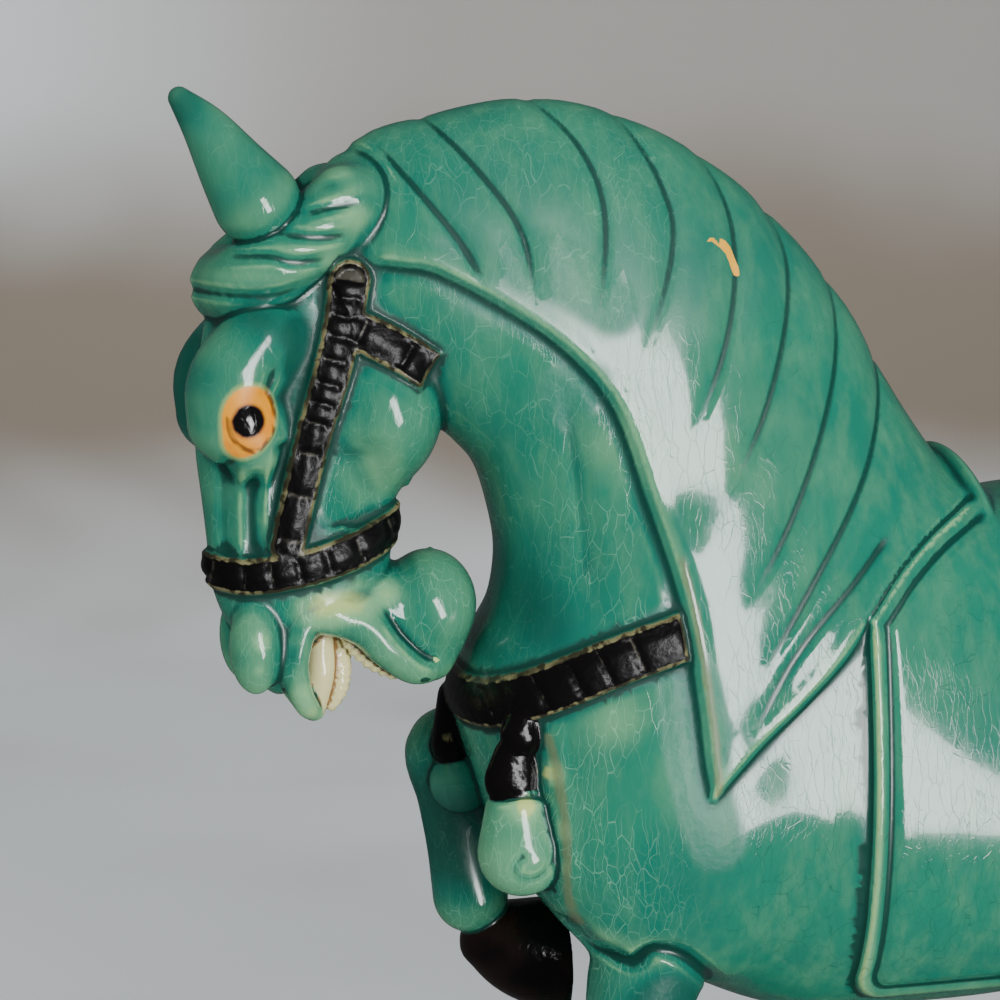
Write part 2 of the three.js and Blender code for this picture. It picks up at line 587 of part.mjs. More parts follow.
/** Distance field of the whole casting. */
class HorseField {
  constructor() {
    const mass = (size) => new Ellipsoid(size);
    const limb = (size) => new Limb(size);
    this.trunk = new SectionFan(TRUNK);
    this.head = new SectionFan(HEAD);
    this.relief = new SideRelief();
    this.trunkParts = [RUMP, SHOULDER].map(mass);
    this.headParts = [
      mass(CHEEK), limb(BROW), mass(BROW_TAIL), mass(CHIN), mass(NOSTRIL), mass(LIP_FILL), limb(JAW_BRIDGE),
      limb(UPPER_LIP), limb(LOWER_LIP), limb(FORELOCK), limb(NEAR_EAR), limb(FAR_EAR), mass(EYEBALL),
      limb(UPPER_TEETH), limb(PALATE), limb(LOWER_TEETH),
    ];
    this.legs = [RAISED_FORELEG, NEAR_FORELEG, NEAR_HINDLEG, FAR_HINDLEG, TAIL].map(limb);
    this.raisedHoof = limb(RAISED_HOOF);
    this.pendants = [
      limb(PENDANT_KNOB), limb(PENDANT_TAB), limb(FAR_TAB), limb(PENDANT_DROP), mass(FAR_DROP),
    ];
    this.saddle = mass(SADDLE);
    this.standing = [NEAR_FORELEG, NEAR_HINDLEG, FAR_HINDLEG].map((leg) => leg.stations.at(-1));
  }

  /** What is shared by every point over one side-view place. */
  column(x, z) {
    const trunk = this.trunk.sectionAt(x, z);
    return { trunk, head: this.head.sectionAt(x, z), relief: this.relief.at(x, z) };
  }

  saddleDistance(x, y, z) {
    const arch = (at) => {
      const offX = (x - at.x - at.lean * (z - SADDLE.centre[2])) / SADDLE.thick;
      const offY = y / SADDLE.halfY;
      const offZ = (z - SADDLE.centre[2]) / SADDLE.rise;
      return (Math.hypot(offX, offY, offZ) - 1) * SADDLE.thick;
    };
    const arches = Math.min(arch(SADDLE.pommel), arch(SADDLE.cantle));
    return smoothUnion(this.saddle.distance(x, y, z), arches, SADDLE.archBlend);
  }

  distance({ trunk, head, relief }, x, y, z) {
    let d = joined(SectionFan.distance(trunk, y), this.trunkParts, x, y, z) - relief.chest;
    if (x < HEAD_REACH) {
      const skull = joined(SectionFan.distance(head, y), this.headParts, x, y, z);
      const rise = ramp(z, THROAT.minZ, THROAT.maxZ);
      d = smoothUnion(d, skull, lerp(THROAT.lowBlend, THROAT.highBlend, rise));
    }
    d = joined(d - relief.body, this.legs, x, y, z);
    d += relief.fold * ramp(-y, LEG_FOLD.innerY, LEG_FOLD.outerY);
    const hoof = Math.max(this.raisedHoof.distance(x, y, z), x - RAISED_HOOF.soleX);
    d = joined(smoothUnion(d, hoof, RAISED_HOOF.blend), this.pendants, x, y, z);
    d = smoothUnion(d, this.saddleDistance(x, y, z), SADDLE.blend);
    for (const foot of this.standing) {
      d = smoothUnion(d, hoofDistance(x, y, z, foot), HOOF.blend);
    }
    return smoothUnion(d, slabDistance(x, y, z), BASE.blend);
  }
}

/** Samples a field on a cubic grid and draws its zero surface through the six tetrahedra of each cell. */
class TetrahedralMesher {
  constructor(bounds, pitch) {
    this.origin = bounds.min;
    this.pitch = pitch;
    this.size = bounds.getSize(new THREE.Vector3()).divideScalar(pitch).ceil().addScalar(1);
    this.stride = [1, this.size.x, this.size.x * this.size.y];
    this.values = new Float32Array(this.size.x * this.size.y * this.size.z);
    this.corner = Array.from({ length: 8 }, (_, bits) => (
      this.stride.reduce((sum, stride, axis) => sum + (bits >> axis & 1) * stride, 0)
    ));
    this.vertices = [];
    this.vertexOf = new Map();
    this.triangles = [];
  }

  sample(field) {
    for (let k = 0; k < this.size.z; k += 1) {
      const z = this.origin.z + k * this.pitch;
      for (let i = 0; i < this.size.x; i += 1) {
        const x = this.origin.x + i * this.pitch;
        const column = field.column(x, z);
        for (let j = 0; j < this.size.y; j += 1) {
          const value = field.distance(column, x, this.origin.y + j * this.pitch, z);
          this.values[i + j * this.stride[1] + k * this.stride[2]] = value === 0 ? 1e-6 : value;
        }
      }
    }
  }

  /** The vertex where the surface crosses from one grid point to another of the same cell. */
  crossing(cell, fromBits, toBits) {
    const low = fromBits & toBits;
    const start = cell + this.corner[low];
    const key = start * 8 + (fromBits | toBits) - low;
    if (!this.vertexOf.has(key)) {
      const end = cell + this.corner[fromBits | toBits];
      const t = clamp(this.values[start] / (this.values[start] - this.values[end]), 0.02, 0.98);
      this.vertexOf.set(key, this.vertices.length / 3);
      for (let axis = 0; axis < 3; axis += 1) {
        const size = axis === 2 ? Infinity : this.size.getComponent(axis);
        const step = (fromBits | toBits) - low >> axis & 1;
        const index = Math.floor(start / this.stride[axis]) % size;
        this.vertices.push(this.origin.getComponent(axis) + (index + step * t) * this.pitch);
      }
    }
    return this.vertexOf.get(key);
  }

  polygonise() {
    const orders = [[1, 2, 4], [2, 4, 1], [4, 1, 2], [2, 1, 4], [1, 4, 2], [4, 2, 1]];
    const tetrahedra = orders.map(([a, b], n) => (n < 3 ? [0, a, a | b, 7] : [0, a | b, a, 7]));
    for (let k = 0; k + 1 < this.size.z; k += 1) {
      for (let j = 0; j + 1 < this.size.y; j += 1) {
        for (let i = 0; i + 1 < this.size.x; i += 1) {
          const cell = i + j * this.stride[1] + k * this.stride[2];
          const inside = this.corner.filter((offset) => this.values[cell + offset] < 0).length;
          if (inside > 0 && inside < 8) {
            tetrahedra.forEach((corners) => this.splitTetrahedron(cell, corners));
          }
        }
      }
    }
  }

  splitTetrahedron(cell, corners) {
    const solid = corners.map((bits) => this.values[cell + this.corner[bits]] < 0);
    const count = solid.filter(Boolean).length;
    if (count === 0 || count === 4) {
      return;
    }
    if (count === 2) {
      const pairs = [[0, 1, 2, 3], [2, 3, 0, 1], [0, 2, 3, 1], [1, 3, 2, 0], [0, 3, 1, 2], [1, 2, 0, 3]];
      const [i, j, k, l] = pairs.find(([a, b]) => solid[a] && solid[b]).map((n) => corners[n]);
      const quad = [[i, k], [i, l], [j, l], [j, k]].map(([a, b]) => this.crossing(cell, a, b));
      this.triangles.push(quad[0], quad[1], quad[2], quad[0], quad[2], quad[3]);
      return;
    }
    const turns = [[0, 1, 2, 3], [1, 0, 3, 2], [2, 3, 0, 1], [3, 2, 1, 0]];
    const [i, j, k, l] = turns.find(([a]) => solid[a] === (count === 1)).map((n) => corners[n]);
    const [p, q, r] = [[i, j], [i, k], [i, l]].map(([a, b]) => this.crossing(cell, a, b));
    this.triangles.push(p, ...(count === 1 ? [q, r] : [r, q]));
  }
}

/** Smallest-first queue of edge collapses. */
class CollapseQueue {
  constructor() {
    this.items = [];
  }

  push(item) {
    let place = this.items.push(item) - 1;
    while (place > 0) {
      const parent = place - 1 >> 1;
      if (this.items[parent].cost <= item.cost) {
        break;
      }
      this.items[place] = this.items[parent];
      place = parent;
    }
    this.items[place] = item;
  }

  pop() {
    const top = this.items[0];
    const item = this.items.pop();
    const count = this.items.length;
    if (count > 0) {
      let place = 0;
      for (let child = 1; child < count; child = 2 * place + 1) {
        if (child + 1 < count && this.items[child + 1].cost < this.items[child].cost) {
          child += 1;
        }
        if (this.items[child].cost >= item.cost) {
          break;
        }
        this.items[place] = this.items[child];
        place = child;
      }
      this.items[place] = item;
    }
    return top;
  }
}

/** Thins a closed mesh by collapsing the edges that change its surface least. */
class Simplifier {
  constructor(vertices, triangles, weightAt) {
    this.points = [];
    for (let i = 0; i < vertices.length; i += 3) {
      this.points.push(new THREE.Vector3(vertices[i], vertices[i + 1], vertices[i + 2]));
    }
    this.faces = [];
    this.fans = this.points.map(() => new Set());
    this.stamps = new Uint32Array(this.points.length);
    this.quadrics = this.points.map(() => new Float64Array(10));
    for (let i = 0; i < triangles.length; i += 3) {
      const face = [triangles[i], triangles[i + 1], triangles[i + 2]];
      this.faces.push(face);
      face.forEach((v) => this.fans[v].add(this.faces.length - 1));
      this.addPlane(face, weightAt(this.points[face[0]]));
    }
    this.count = this.faces.length;
    this.queue = new CollapseQueue();
    this.faces.forEach(([a, b, c]) => [[a, b], [b, c], [c, a]].forEach(([u, v]) => {
      if (u < v) {
        this.propose(u, v);
      }
    }));
  }

  normalOf([a, b, c], swap = -1, at = null) {
    const [p, q, r] = [a, b, c].map((v) => (v === swap ? at : this.points[v]));
    return q.clone().sub(p).cross(r.clone().sub(p));
  }

  addPlane(face, weight) {
    const normal = this.normalOf(face);
    const area = normal.length() / 2;
    normal.normalize();
    const row = [normal.x, normal.y, normal.z, -normal.dot(this.points[face[0]])];
    let slot = 0;
    for (let i = 0; i < 4; i += 1) {
      for (let j = i; j < 4; j += 1) {
        face.forEach((v) => { this.quadrics[v][slot] += row[i] * row[j] * area * weight; });
        slot += 1;
      }
    }
  }

  static errorAt(q, p) {
    return q[0] * p.x * p.x + 2 * q[1] * p.x * p.y + 2 * q[2] * p.x * p.z + 2 * q[3] * p.x + q[4] * p.y * p.y
      + 2 * q[5] * p.y * p.z + 2 * q[6] * p.y + q[7] * p.z * p.z + 2 * q[8] * p.z + q[9];
  }

  propose(u, v) {
    const q = this.quadrics[u].map((value, i) => value + this.quadrics[v][i]);
    const middle = this.points[u].clone().lerp(this.points[v], 0.5);
    const reach = this.points[u].distanceTo(this.points[v]);
    const candidates = [middle, this.points[u], this.points[v]];
    const matrix = new THREE.Matrix3().set(q[0], q[1], q[2], q[1], q[4], q[5], q[2], q[5], q[7]);
    const scale = q[0] + q[4] + q[7];
    if (Math.abs(matrix.determinant()) > 1e-5 * scale ** 3) {
      const best = new THREE.Vector3(-q[3], -q[6], -q[8]).applyMatrix3(matrix.invert());
      if (best.distanceTo(middle) < reach) {
        candidates.unshift(best);
      }
    }
    const errors = candidates.map((p) => Simplifier.errorAt(q, p));
    const cost = Math.max(Math.min(...errors), 0) + 1e-6 * reach * reach;
    const target = candidates[errors.indexOf(Math.min(...errors))].clone();
    this.queue.push({ cost, u, v, target, stampU: this.stamps[u], stampV: this.stamps[v], q });
  }

  neighbours(v) {
    const around = new Set();
    this.fans[v].forEach((f) => this.faces[f].forEach((w) => around.add(w)));
    around.delete(v);
    return around;
  }

  allowed({ u, v, target }) {
    const nextU = this.neighbours(u);
    const shared = [...this.neighbours(v)].filter((w) => nextU.has(w));
    if (shared.length !== 2) {
      return false;
    }
    return [u, v].every((moved) => [...this.fans[moved]].every((f) => {
      const face = this.faces[f];
      if (face.includes(u) && face.includes(v)) {
        return true;
      }
      const before = this.normalOf(face);
      const after = this.normalOf(face, moved, target);
      const lengths = before.length() * after.length();
      return after.length() > 1e-4 && before.dot(after) > 0.35 * lengths;
    }));
  }

  run(budget) {
    while (this.count > budget && this.queue.items.length > 0) {
      const move = this.queue.pop();
      const fresh = this.stamps[move.u] === move.stampU && this.stamps[move.v] === move.stampV;
      if (fresh && this.allowed(move)) {
        this.collapse(move);
      }
    }
  }

  collapse({ u, v, target, q }) {
    this.fans[v].forEach((f) => {
      const face = this.faces[f];
      if (face.includes(u)) {
        face.forEach((w) => this.fans[w].delete(f));
        this.faces[f] = null;
        this.count -= 1;
      } else {
        face[face.indexOf(v)] = u;
        this.fans[u].add(f);
      }
    });
    this.points[u] = target;
    this.quadrics[u] = q;
    this.stamps[u] += 1;
    this.stamps[v] += 1;
    this.neighbours(u).forEach((w) => this.propose(u, w));
  }

  mesh() {
    const index = new Map();
    const vertProperties = [];
    const triVerts = this.faces.filter((face) => face !== null).flatMap((face) => face.map((v) => {
      if (!index.has(v)) {
        index.set(v, index.size);
        vertProperties.push(this.points[v].x, this.points[v].y, this.points[v].z);
      }
      return index.get(v);
    }));
    return { vertProperties: new Float32Array(vertProperties), triVerts: new Uint32Array(triVerts) };
  }
}

const mesher = new TetrahedralMesher(BOUNDS, SAMPLE_PITCH);
mesher.sample(new HorseField());
mesher.polygonise();
const weightAt = ({ x, z }) => (x < HEAD_REGION.maxX && z > HEAD_REGION.minZ ? HEAD_DETAIL_WEIGHT : 1);
const simplifier = new Simplifier(mesher.vertices, mesher.triangles, weightAt);
simplifier.run(TRIANGLE_BUDGET);

const wasm = await Module();
wasm.setup();

/** A manifold solid from plain vertex and triangle arrays. */
function solidFrom({ vertProperties, triVerts }) {
  return new wasm.Manifold(new wasm.Mesh({ numProp: 3, vertProperties, triVerts }));
}

/** A box as vertex and triangle arrays with shared corners. */
function boxArrays(box) {
  const corners = Array.from({ length: 8 }, (_, bits) => [0, 1, 2]
    .map((axis) => (bits >> axis & 1 ? box.max : box.min).getComponent(axis)));
  const quads = [[0, 2, 3, 1], [4, 5, 7, 6], [0, 1, 5, 4], [2, 6, 7, 3], [0, 4, 6, 2], [1, 3, 7, 5]];
  return {
    vertProperties: new Float32Array(corners.flat()),
    triVerts: new Uint32Array(quads.flatMap(([a, b, c, d]) => [a, b, c, a, c, d])),
  };
}

const below = new THREE.Box3(BOUNDS.min.clone().subScalar(20), BOUNDS.max.clone().addScalar(20));
below.max.z = 0;
const casting = solidFrom(simplifier.mesh()).subtract(solidFrom(boxArrays(below))).getMesh();

const geometry = new THREE.BufferGeometry();
geometry.setAttribute('position', new THREE.BufferAttribute(new Float32Array(casting.vertProperties), 3));
geometry.setIndex(new THREE.BufferAttribute(new Uint32Array(casting.triVerts), 1));
geometry.computeBoundingBox();
const middle = geometry.boundingBox.getCenter(new THREE.Vector3());
geometry.translate(-middle.x, -middle.y, 0);
geometry.computeVertexNormals();

const glaze = new THREE.MeshStandardMaterial({ color: 0x3f9478, roughness: 0.12, metalness: 0 });
const horse = new THREE.Mesh(geometry, glaze);
horse.name = 'horse';

const figurine = new THREE.Group();
figurine.add(horse);

export default figurine;
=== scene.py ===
"""Glazed ceramic horse figurine, built as one casting and dressed for a studio picture.

The horse faces -X, its left side is -Y and it stands on z = 0. Sizes are in millimetres; Blender's scene is
in metres. The form is a distance field: section fans, limbs and rounded masses melt into each other, and the
mane, harness and carved lines stand on or sink into it. The field is meshed, thinned and marked with the
places of each colour.
"""

from __future__ import annotations

import logging
import math
from dataclasses import dataclass, field
from enum import Enum
from typing import Any, Callable, Mapping, Sequence

import bmesh
import bpy
import numpy as np
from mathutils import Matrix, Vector

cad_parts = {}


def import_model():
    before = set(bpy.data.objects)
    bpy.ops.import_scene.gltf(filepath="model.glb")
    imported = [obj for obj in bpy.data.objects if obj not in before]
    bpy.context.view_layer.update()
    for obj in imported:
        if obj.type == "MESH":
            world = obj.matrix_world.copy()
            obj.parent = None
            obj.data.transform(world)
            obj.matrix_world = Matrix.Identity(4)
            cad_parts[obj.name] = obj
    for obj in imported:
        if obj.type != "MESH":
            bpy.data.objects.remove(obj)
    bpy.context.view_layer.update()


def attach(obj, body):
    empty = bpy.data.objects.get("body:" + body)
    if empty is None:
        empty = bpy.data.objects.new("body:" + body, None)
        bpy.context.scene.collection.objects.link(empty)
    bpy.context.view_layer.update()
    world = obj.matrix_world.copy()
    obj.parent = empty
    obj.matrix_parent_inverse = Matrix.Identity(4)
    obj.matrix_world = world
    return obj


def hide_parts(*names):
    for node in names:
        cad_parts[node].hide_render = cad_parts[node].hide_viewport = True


LOG = logging.getLogger("horse")
MM = 0.001
FAR = 1e3

Array = np.ndarray
Point2 = tuple[float, float]
Point3 = tuple[float, float, float]
Path2 = tuple[Point2, ...]


def smooth_union(a: Array, b: Array, blend: float | Array) -> Array:
    """Join two distances with a fillet.

    Args:
        a: Distances to the first form.
        b: Distances to the second form.
        blend: Width over which they melt together.

    Returns:
        Distances to both.
    """
    overlap = np.maximum(blend - np.abs(a - b), 0.0) / blend
    return np.minimum(a, b) - overlap * overlap * blend / 4


def ramp(value: Array, start: float, end: float) -> Array:
    """Return a smooth rise from 0 at start to 1 at end."""
    t = np.clip((value - start) / (end - start), 0.0, 1.0)
    return t * t * (3 - 2 * t)


def bell(value: Array, centre: float, width: float) -> Array:
    """Return a bell curve, 1 at its centre."""
    return np.exp(-(((value - centre) / width) ** 2))


def groove(distance: Array, half: float) -> Array:
    """Return a groove's profile, 1 on its line and 0 from half away."""
    return np.maximum(1 - (distance / half) ** 2, 0) ** 2


def rounded_corner(a: Array, b: Array) -> Array:
    """Return the distance from a corner, given the distances past its two sides."""
    return np.hypot(np.maximum(a, 0), np.maximum(b, 0)) + np.minimum(np.maximum(a, b), 0)


def smooth_path(points: Sequence[Sequence[float]], count: int) -> Array:
    """Run a smooth curve through points.

    Args:
        points: Stations of any number of values each.
        count: Number of pieces in the result.

    Returns:
        One row for each of count + 1 places along the curve.
    """
    known = np.asarray(points, dtype=float)
    padded = np.vstack([2 * known[0] - known[1], known, 2 * known[-1] - known[-2]])
    place = np.linspace(0, len(known) - 1, count + 1)
    index = np.minimum(place.astype(int), len(known) - 2)
    t = (place - index)[:, None]
    p0, p1, p2, p3 = (padded[index + n] for n in range(4))
    square, cube = 2 * p0 - 5 * p1 + 4 * p2 - p3, 3 * p1 - p0 - 3 * p2 + p3
    return 0.5 * (2 * p1 + (p2 - p0) * t + square * t**2 + cube * t**3)


class SideCurve:
    """A curve in the side view, kept as short straight pieces."""

    def __init__(self, points: Sequence[Point2], pieces: int = 28) -> None:
        """Smooth the curve through its points."""
        self.points = smooth_path(points, pieces)

    def nearest(self, x: Array, z: Array, reach: float) -> tuple[Array, Array, Array]:
        """Find the nearest place on the curve.

        Args:
            x: Places along the horse.
            z: Heights.
            reach: How far from the curve an answer is needed.

        Returns:
            Distance, place along the curve from 0 to 1, and side (1 left of its direction, -1 right).
        """
        distance, along, side = np.full(x.shape, FAR), np.zeros(x.shape), np.zeros(x.shape)
        low = self.points.min(axis=0) - reach
        high = self.points.max(axis=0) + reach
        near = (x > low[0]) & (x < high[0]) & (z > low[1]) & (z < high[1])
        px, pz = x[near], z[near]
        best, best_along, best_side = np.full(px.shape, FAR), np.zeros(px.shape), np.zeros(px.shape)
        last = len(self.points) - 1
        for i, (a, b) in enumerate(zip(self.points[:-1], self.points[1:])):
            dx, dz = b - a
            t = np.clip(((px - a[0]) * dx + (pz - a[1]) * dz) / (dx * dx + dz * dz), 0, 1)
            off_x = px - a[0] - t * dx
            off_z = pz - a[1] - t * dz
            gap = np.hypot(off_x, off_z)
            closer = gap < best
            best = np.where(closer, gap, best)
            best_along = np.where(closer, (i + t) / last, best_along)
            best_side = np.where(closer, np.sign(dx * off_z - dz * off_x), best_side)
        distance[near], along[near], side[near] = best, best_along, best_side
        return distance, along, side

    @property
    def length(self) -> float:
        """Length of the curve."""
        return float(np.hypot(*np.diff(self.points, axis=0).T).sum())


def nearest_of(paths: Sequence[Path2], x: Array, z: Array, reach: float) -> Array:
    """Return the distance of side-view places from the nearest of some paths, FAR beyond the reach."""
    return np.min([SideCurve(path).nearest(x, z, reach)[0] for path in paths], axis=0)


@dataclass(frozen=True)
class Station:
    """One section of a fan: two ends in the side view, half width across the horse, and squareness."""

    lower: Point2
    upper: Point2
    half: float
    power: float = 2.0


class SectionFan:
    """A body swept through a fan of sections that stand square to the side view."""

    PARTS = ("across", "depth", "half", "power")
    BEYOND = 20

    def __init__(self, stations: Sequence[Station], lines: int = 130) -> None:
        """Spread the stations into closely spaced section lines."""
        self.lines = smooth_path([(*s.lower, *s.upper, s.half, s.power) for s in stations], lines)

    def section(self, x: Array, z: Array) -> Array:
        """Find the section through each side-view place.

        Args:
            x: Places along the horse.
            z: Heights.

        Returns:
            Four rows: place across the section (-1 to 1), half depth, half width and squareness.
        """
        found = np.ones((len(self.PARTS), *x.shape))
        found[0], found[3] = FAR, 2.0

        def side_of(line: Array) -> Array:
            """Return which side of a section's line each place lies on."""
            return (line[2] - line[0]) * (z - line[1]) - (line[3] - line[1]) * (x - line[0])

        before = side_of(self.lines[0])
        for first, second in zip(self.lines[:-1], self.lines[1:]):
            after = side_of(second)
            crossed = (before > 0) != (after > 0)
            if crossed.any():
                t = before[crossed] / (before[crossed] - after[crossed])
                ax, az, bx, bz, half, power = (a + (b - a) * t for a, b in zip(first, second))
                depth = np.hypot(bx - ax, bz - az) / 2
                offset = (x[crossed] - (ax + bx) / 2) * (bx - ax) + (z[crossed] - (az + bz) / 2) * (bz - az)
                candidate = np.stack([offset / (2 * depth * depth), depth, half, power])
                current = found[:, crossed]
                found[:, crossed] = np.where(np.abs(candidate[0]) < np.abs(current[0]), candidate, current)
            before = after
        return found

    @classmethod
    def distance(cls, section: Sequence[Array], y: Array) -> Array:
        """Return the distance of points whose sections are known."""
        across, depth, half, power = section
        u = np.minimum(np.abs(across), cls.BEYOND) + 1e-6
        v = np.abs(y) / half + 1e-6
        rho = (u**power + v**power) ** (1 / power)
        slope = np.hypot((u / rho) ** (power - 1) / depth, (v / rho) ** (power - 1) / half)
        return np.where(across > cls.BEYOND, FAR, (rho - 1) / slope)


@dataclass(frozen=True)
class Mass:
    """A rounded mass, on the horse's left side only, in the middle, or paired."""

    centre: Point3
    radii: Point3
    blend: float
    paired: bool = False

    def distance(self, x: Array, y: Array, z: Array) -> Array:
        """Return the distance of points from the mass."""
        side = -np.abs(y) if self.paired else y
        offsets = [v - c for v, c in zip((x, side, z), self.centre)]
        scaled = np.sqrt(sum((o / r) ** 2 for o, r in zip(offsets, self.radii)))
        slope = np.sqrt(sum((o / (r * r)) ** 2 for o, r in zip(offsets, self.radii))) + 1e-9
        return scaled * (scaled - 1) / slope


@dataclass(frozen=True)
class Chain:
    """A limb, lip, lock or tail: round sections (x, y, z, radius) strung along a smooth curve."""

    stations: tuple[tuple[float, float, float, float], ...]
    blend: float
    paired: bool = False
    steps: int = 6
    flatten: float = 1
    spare: float = 9
    steepest: float = 0.95

    def distance(self, x: Array, y: Array, z: Array) -> Array:
        """Return the distance of points from the chain, FAR where they lie well outside its box."""
        side = -np.abs(y) if self.paired else y
        beads = smooth_path(self.stations, (len(self.stations) - 1) * self.steps)
        margin = beads[:, 3].max() + self.blend + self.spare
        low, high = beads[:, :3].min(axis=0) - margin, beads[:, :3].max(axis=0) + margin
        near = np.logical_and.reduce([(v > a) & (v < b) for v, a, b in zip((x, side, z), low, high)])
        result = np.full(x.shape, FAR)
        squash = np.array([1, self.flatten, 1])
        points = np.stack([x[near], side[near], z[near]], axis=-1) * squash
        best = np.full(len(points), FAR)
        for a, b in zip(beads[:-1], beads[1:]):
            run = (b[:3] - a[:3]) * squash
            length = np.sqrt(run @ run)
            slope = np.clip((b[3] - a[3]) / length, -self.steepest, self.steepest)
            offset = points - a[:3] * squash
            along = offset @ run / length
            off = np.sqrt(np.maximum((offset**2).sum(axis=1) - along**2, 0))
            place = np.clip(along + off * slope / np.sqrt(1 - slope * slope), 0, length)
            best = np.minimum(best, np.hypot(off, along - place) - a[3] - slope * place)
        result[near] = best
        return result


@dataclass(frozen=True)
class Band:
    """A harness band: its middle line in the side view, half widths at both ends, and segment length."""

    path: Path2
    half_start: float
    half_end: float
    segment: float = 7.0
    first: float = 0.0
    square_end: bool = False
    reach: float = 14

    def lay(self, x: Array, z: Array) -> tuple[Array, Array]:
        """Measure side-view places against the band.

        Args:
            x: Places along the horse.
            z: Heights.

        Returns:
            How far inside the band's edge, and the distance along it to the nearest segment line.
        """
        curve = SideCurve(self.path, 40)
        distance, along, _ = curve.nearest(x, z, self.reach)
        inside = self.half_start + (self.half_end - self.half_start) * along - distance
        if self.square_end:
            (ax, az), (bx, bz) = curve.points[-2:]
            past = ((x - bx) * (bx - ax) + (z - bz) * (bz - az)) / math.hypot(bx - ax, bz - az)
            inside = np.minimum(inside, -past)
        run = along * curve.length - self.first
        return inside, np.abs(run - np.round(run / self.segment) * self.segment)


@dataclass(frozen=True)
class Carved:
    """A carved line in the side view that dies out at its ends."""

    path: Path2
    depth: float
    half: float
    fade_start: float = 0.1
    fade_end: float = 0.14

    def depth_at(self, x: Array, z: Array) -> Array:
        """Return how deep the line sinks at side-view places."""
        distance, along, _ = SideCurve(self.path).nearest(x, z, self.half)
        fade = ramp(along, 0, self.fade_start) * ramp(1 - along, 0, self.fade_end)
        return self.depth * groove(distance, self.half) * fade


@dataclass
class Harness:
    """Bridle, breast strap and crupper strap, standing proud of the body."""

    height: float = 1.6
    edge: float = 0.9
    rung_depth: float = 0.75
    rung_width: float = 1.1
    rung_rise: Point2 = (1.0, 2.4)
    swell: float = 0.7
    swell_rise: Point2 = (1.4, 4.5)
    cheek: Band = Band(((-147, 346), (-149, 334), (-153, 319), (-157, 305), (-163.5, 277)), 5.4, 4.4)
    branch: Band = Band(((-148, 334.5), (-136, 328.5), (-126, 322.3)), 5.2, 5.2, 13, 4, True)
    nose: Band = Band((
        (-192, 271.5), (-176, 269), (-162, 270.5), (-146, 274.8), (-126, 283),
    ), 4.6, 5.0, 8.5, 2)
    breast: Band = Band((
        (-127, 230.5), (-113, 233), (-104, 236.6), (-90, 243.3), (-77, 249), (-54, 257),
    ), 6.0, 6.2, 9)
    crupper: Band = Band(((98, 226), (125, 231), (150, 240), (172, 248)), 5.0, 5.0, 9)

    def lay(self, bands: Sequence[Band], x: Array, z: Array) -> tuple[Array, Array, Array]:
        """Lay bands over side-view places.

        Args:
            bands: The bands.
            x: Places along the horse.
            z: Heights.

        Returns:
            Height over the body, how far inside the nearest band, and distance to its nearest segment line.
        """
        inside = np.full(x.shape, -FAR)
        rung = np.full(x.shape, FAR)
        for band in bands:
            depth, gap = band.lay(x, z)
            rung = np.where(depth > inside, gap, rung)
            inside = np.maximum(inside, depth)
        height = self.height * ramp(inside, -self.edge, self.edge)
        height = height + self.swell * ramp(inside, *self.swell_rise)
        rungs = self.rung_depth * bell(rung, 0, self.rung_width) * ramp(inside, *self.rung_rise)
        return height - rungs, inside, rung


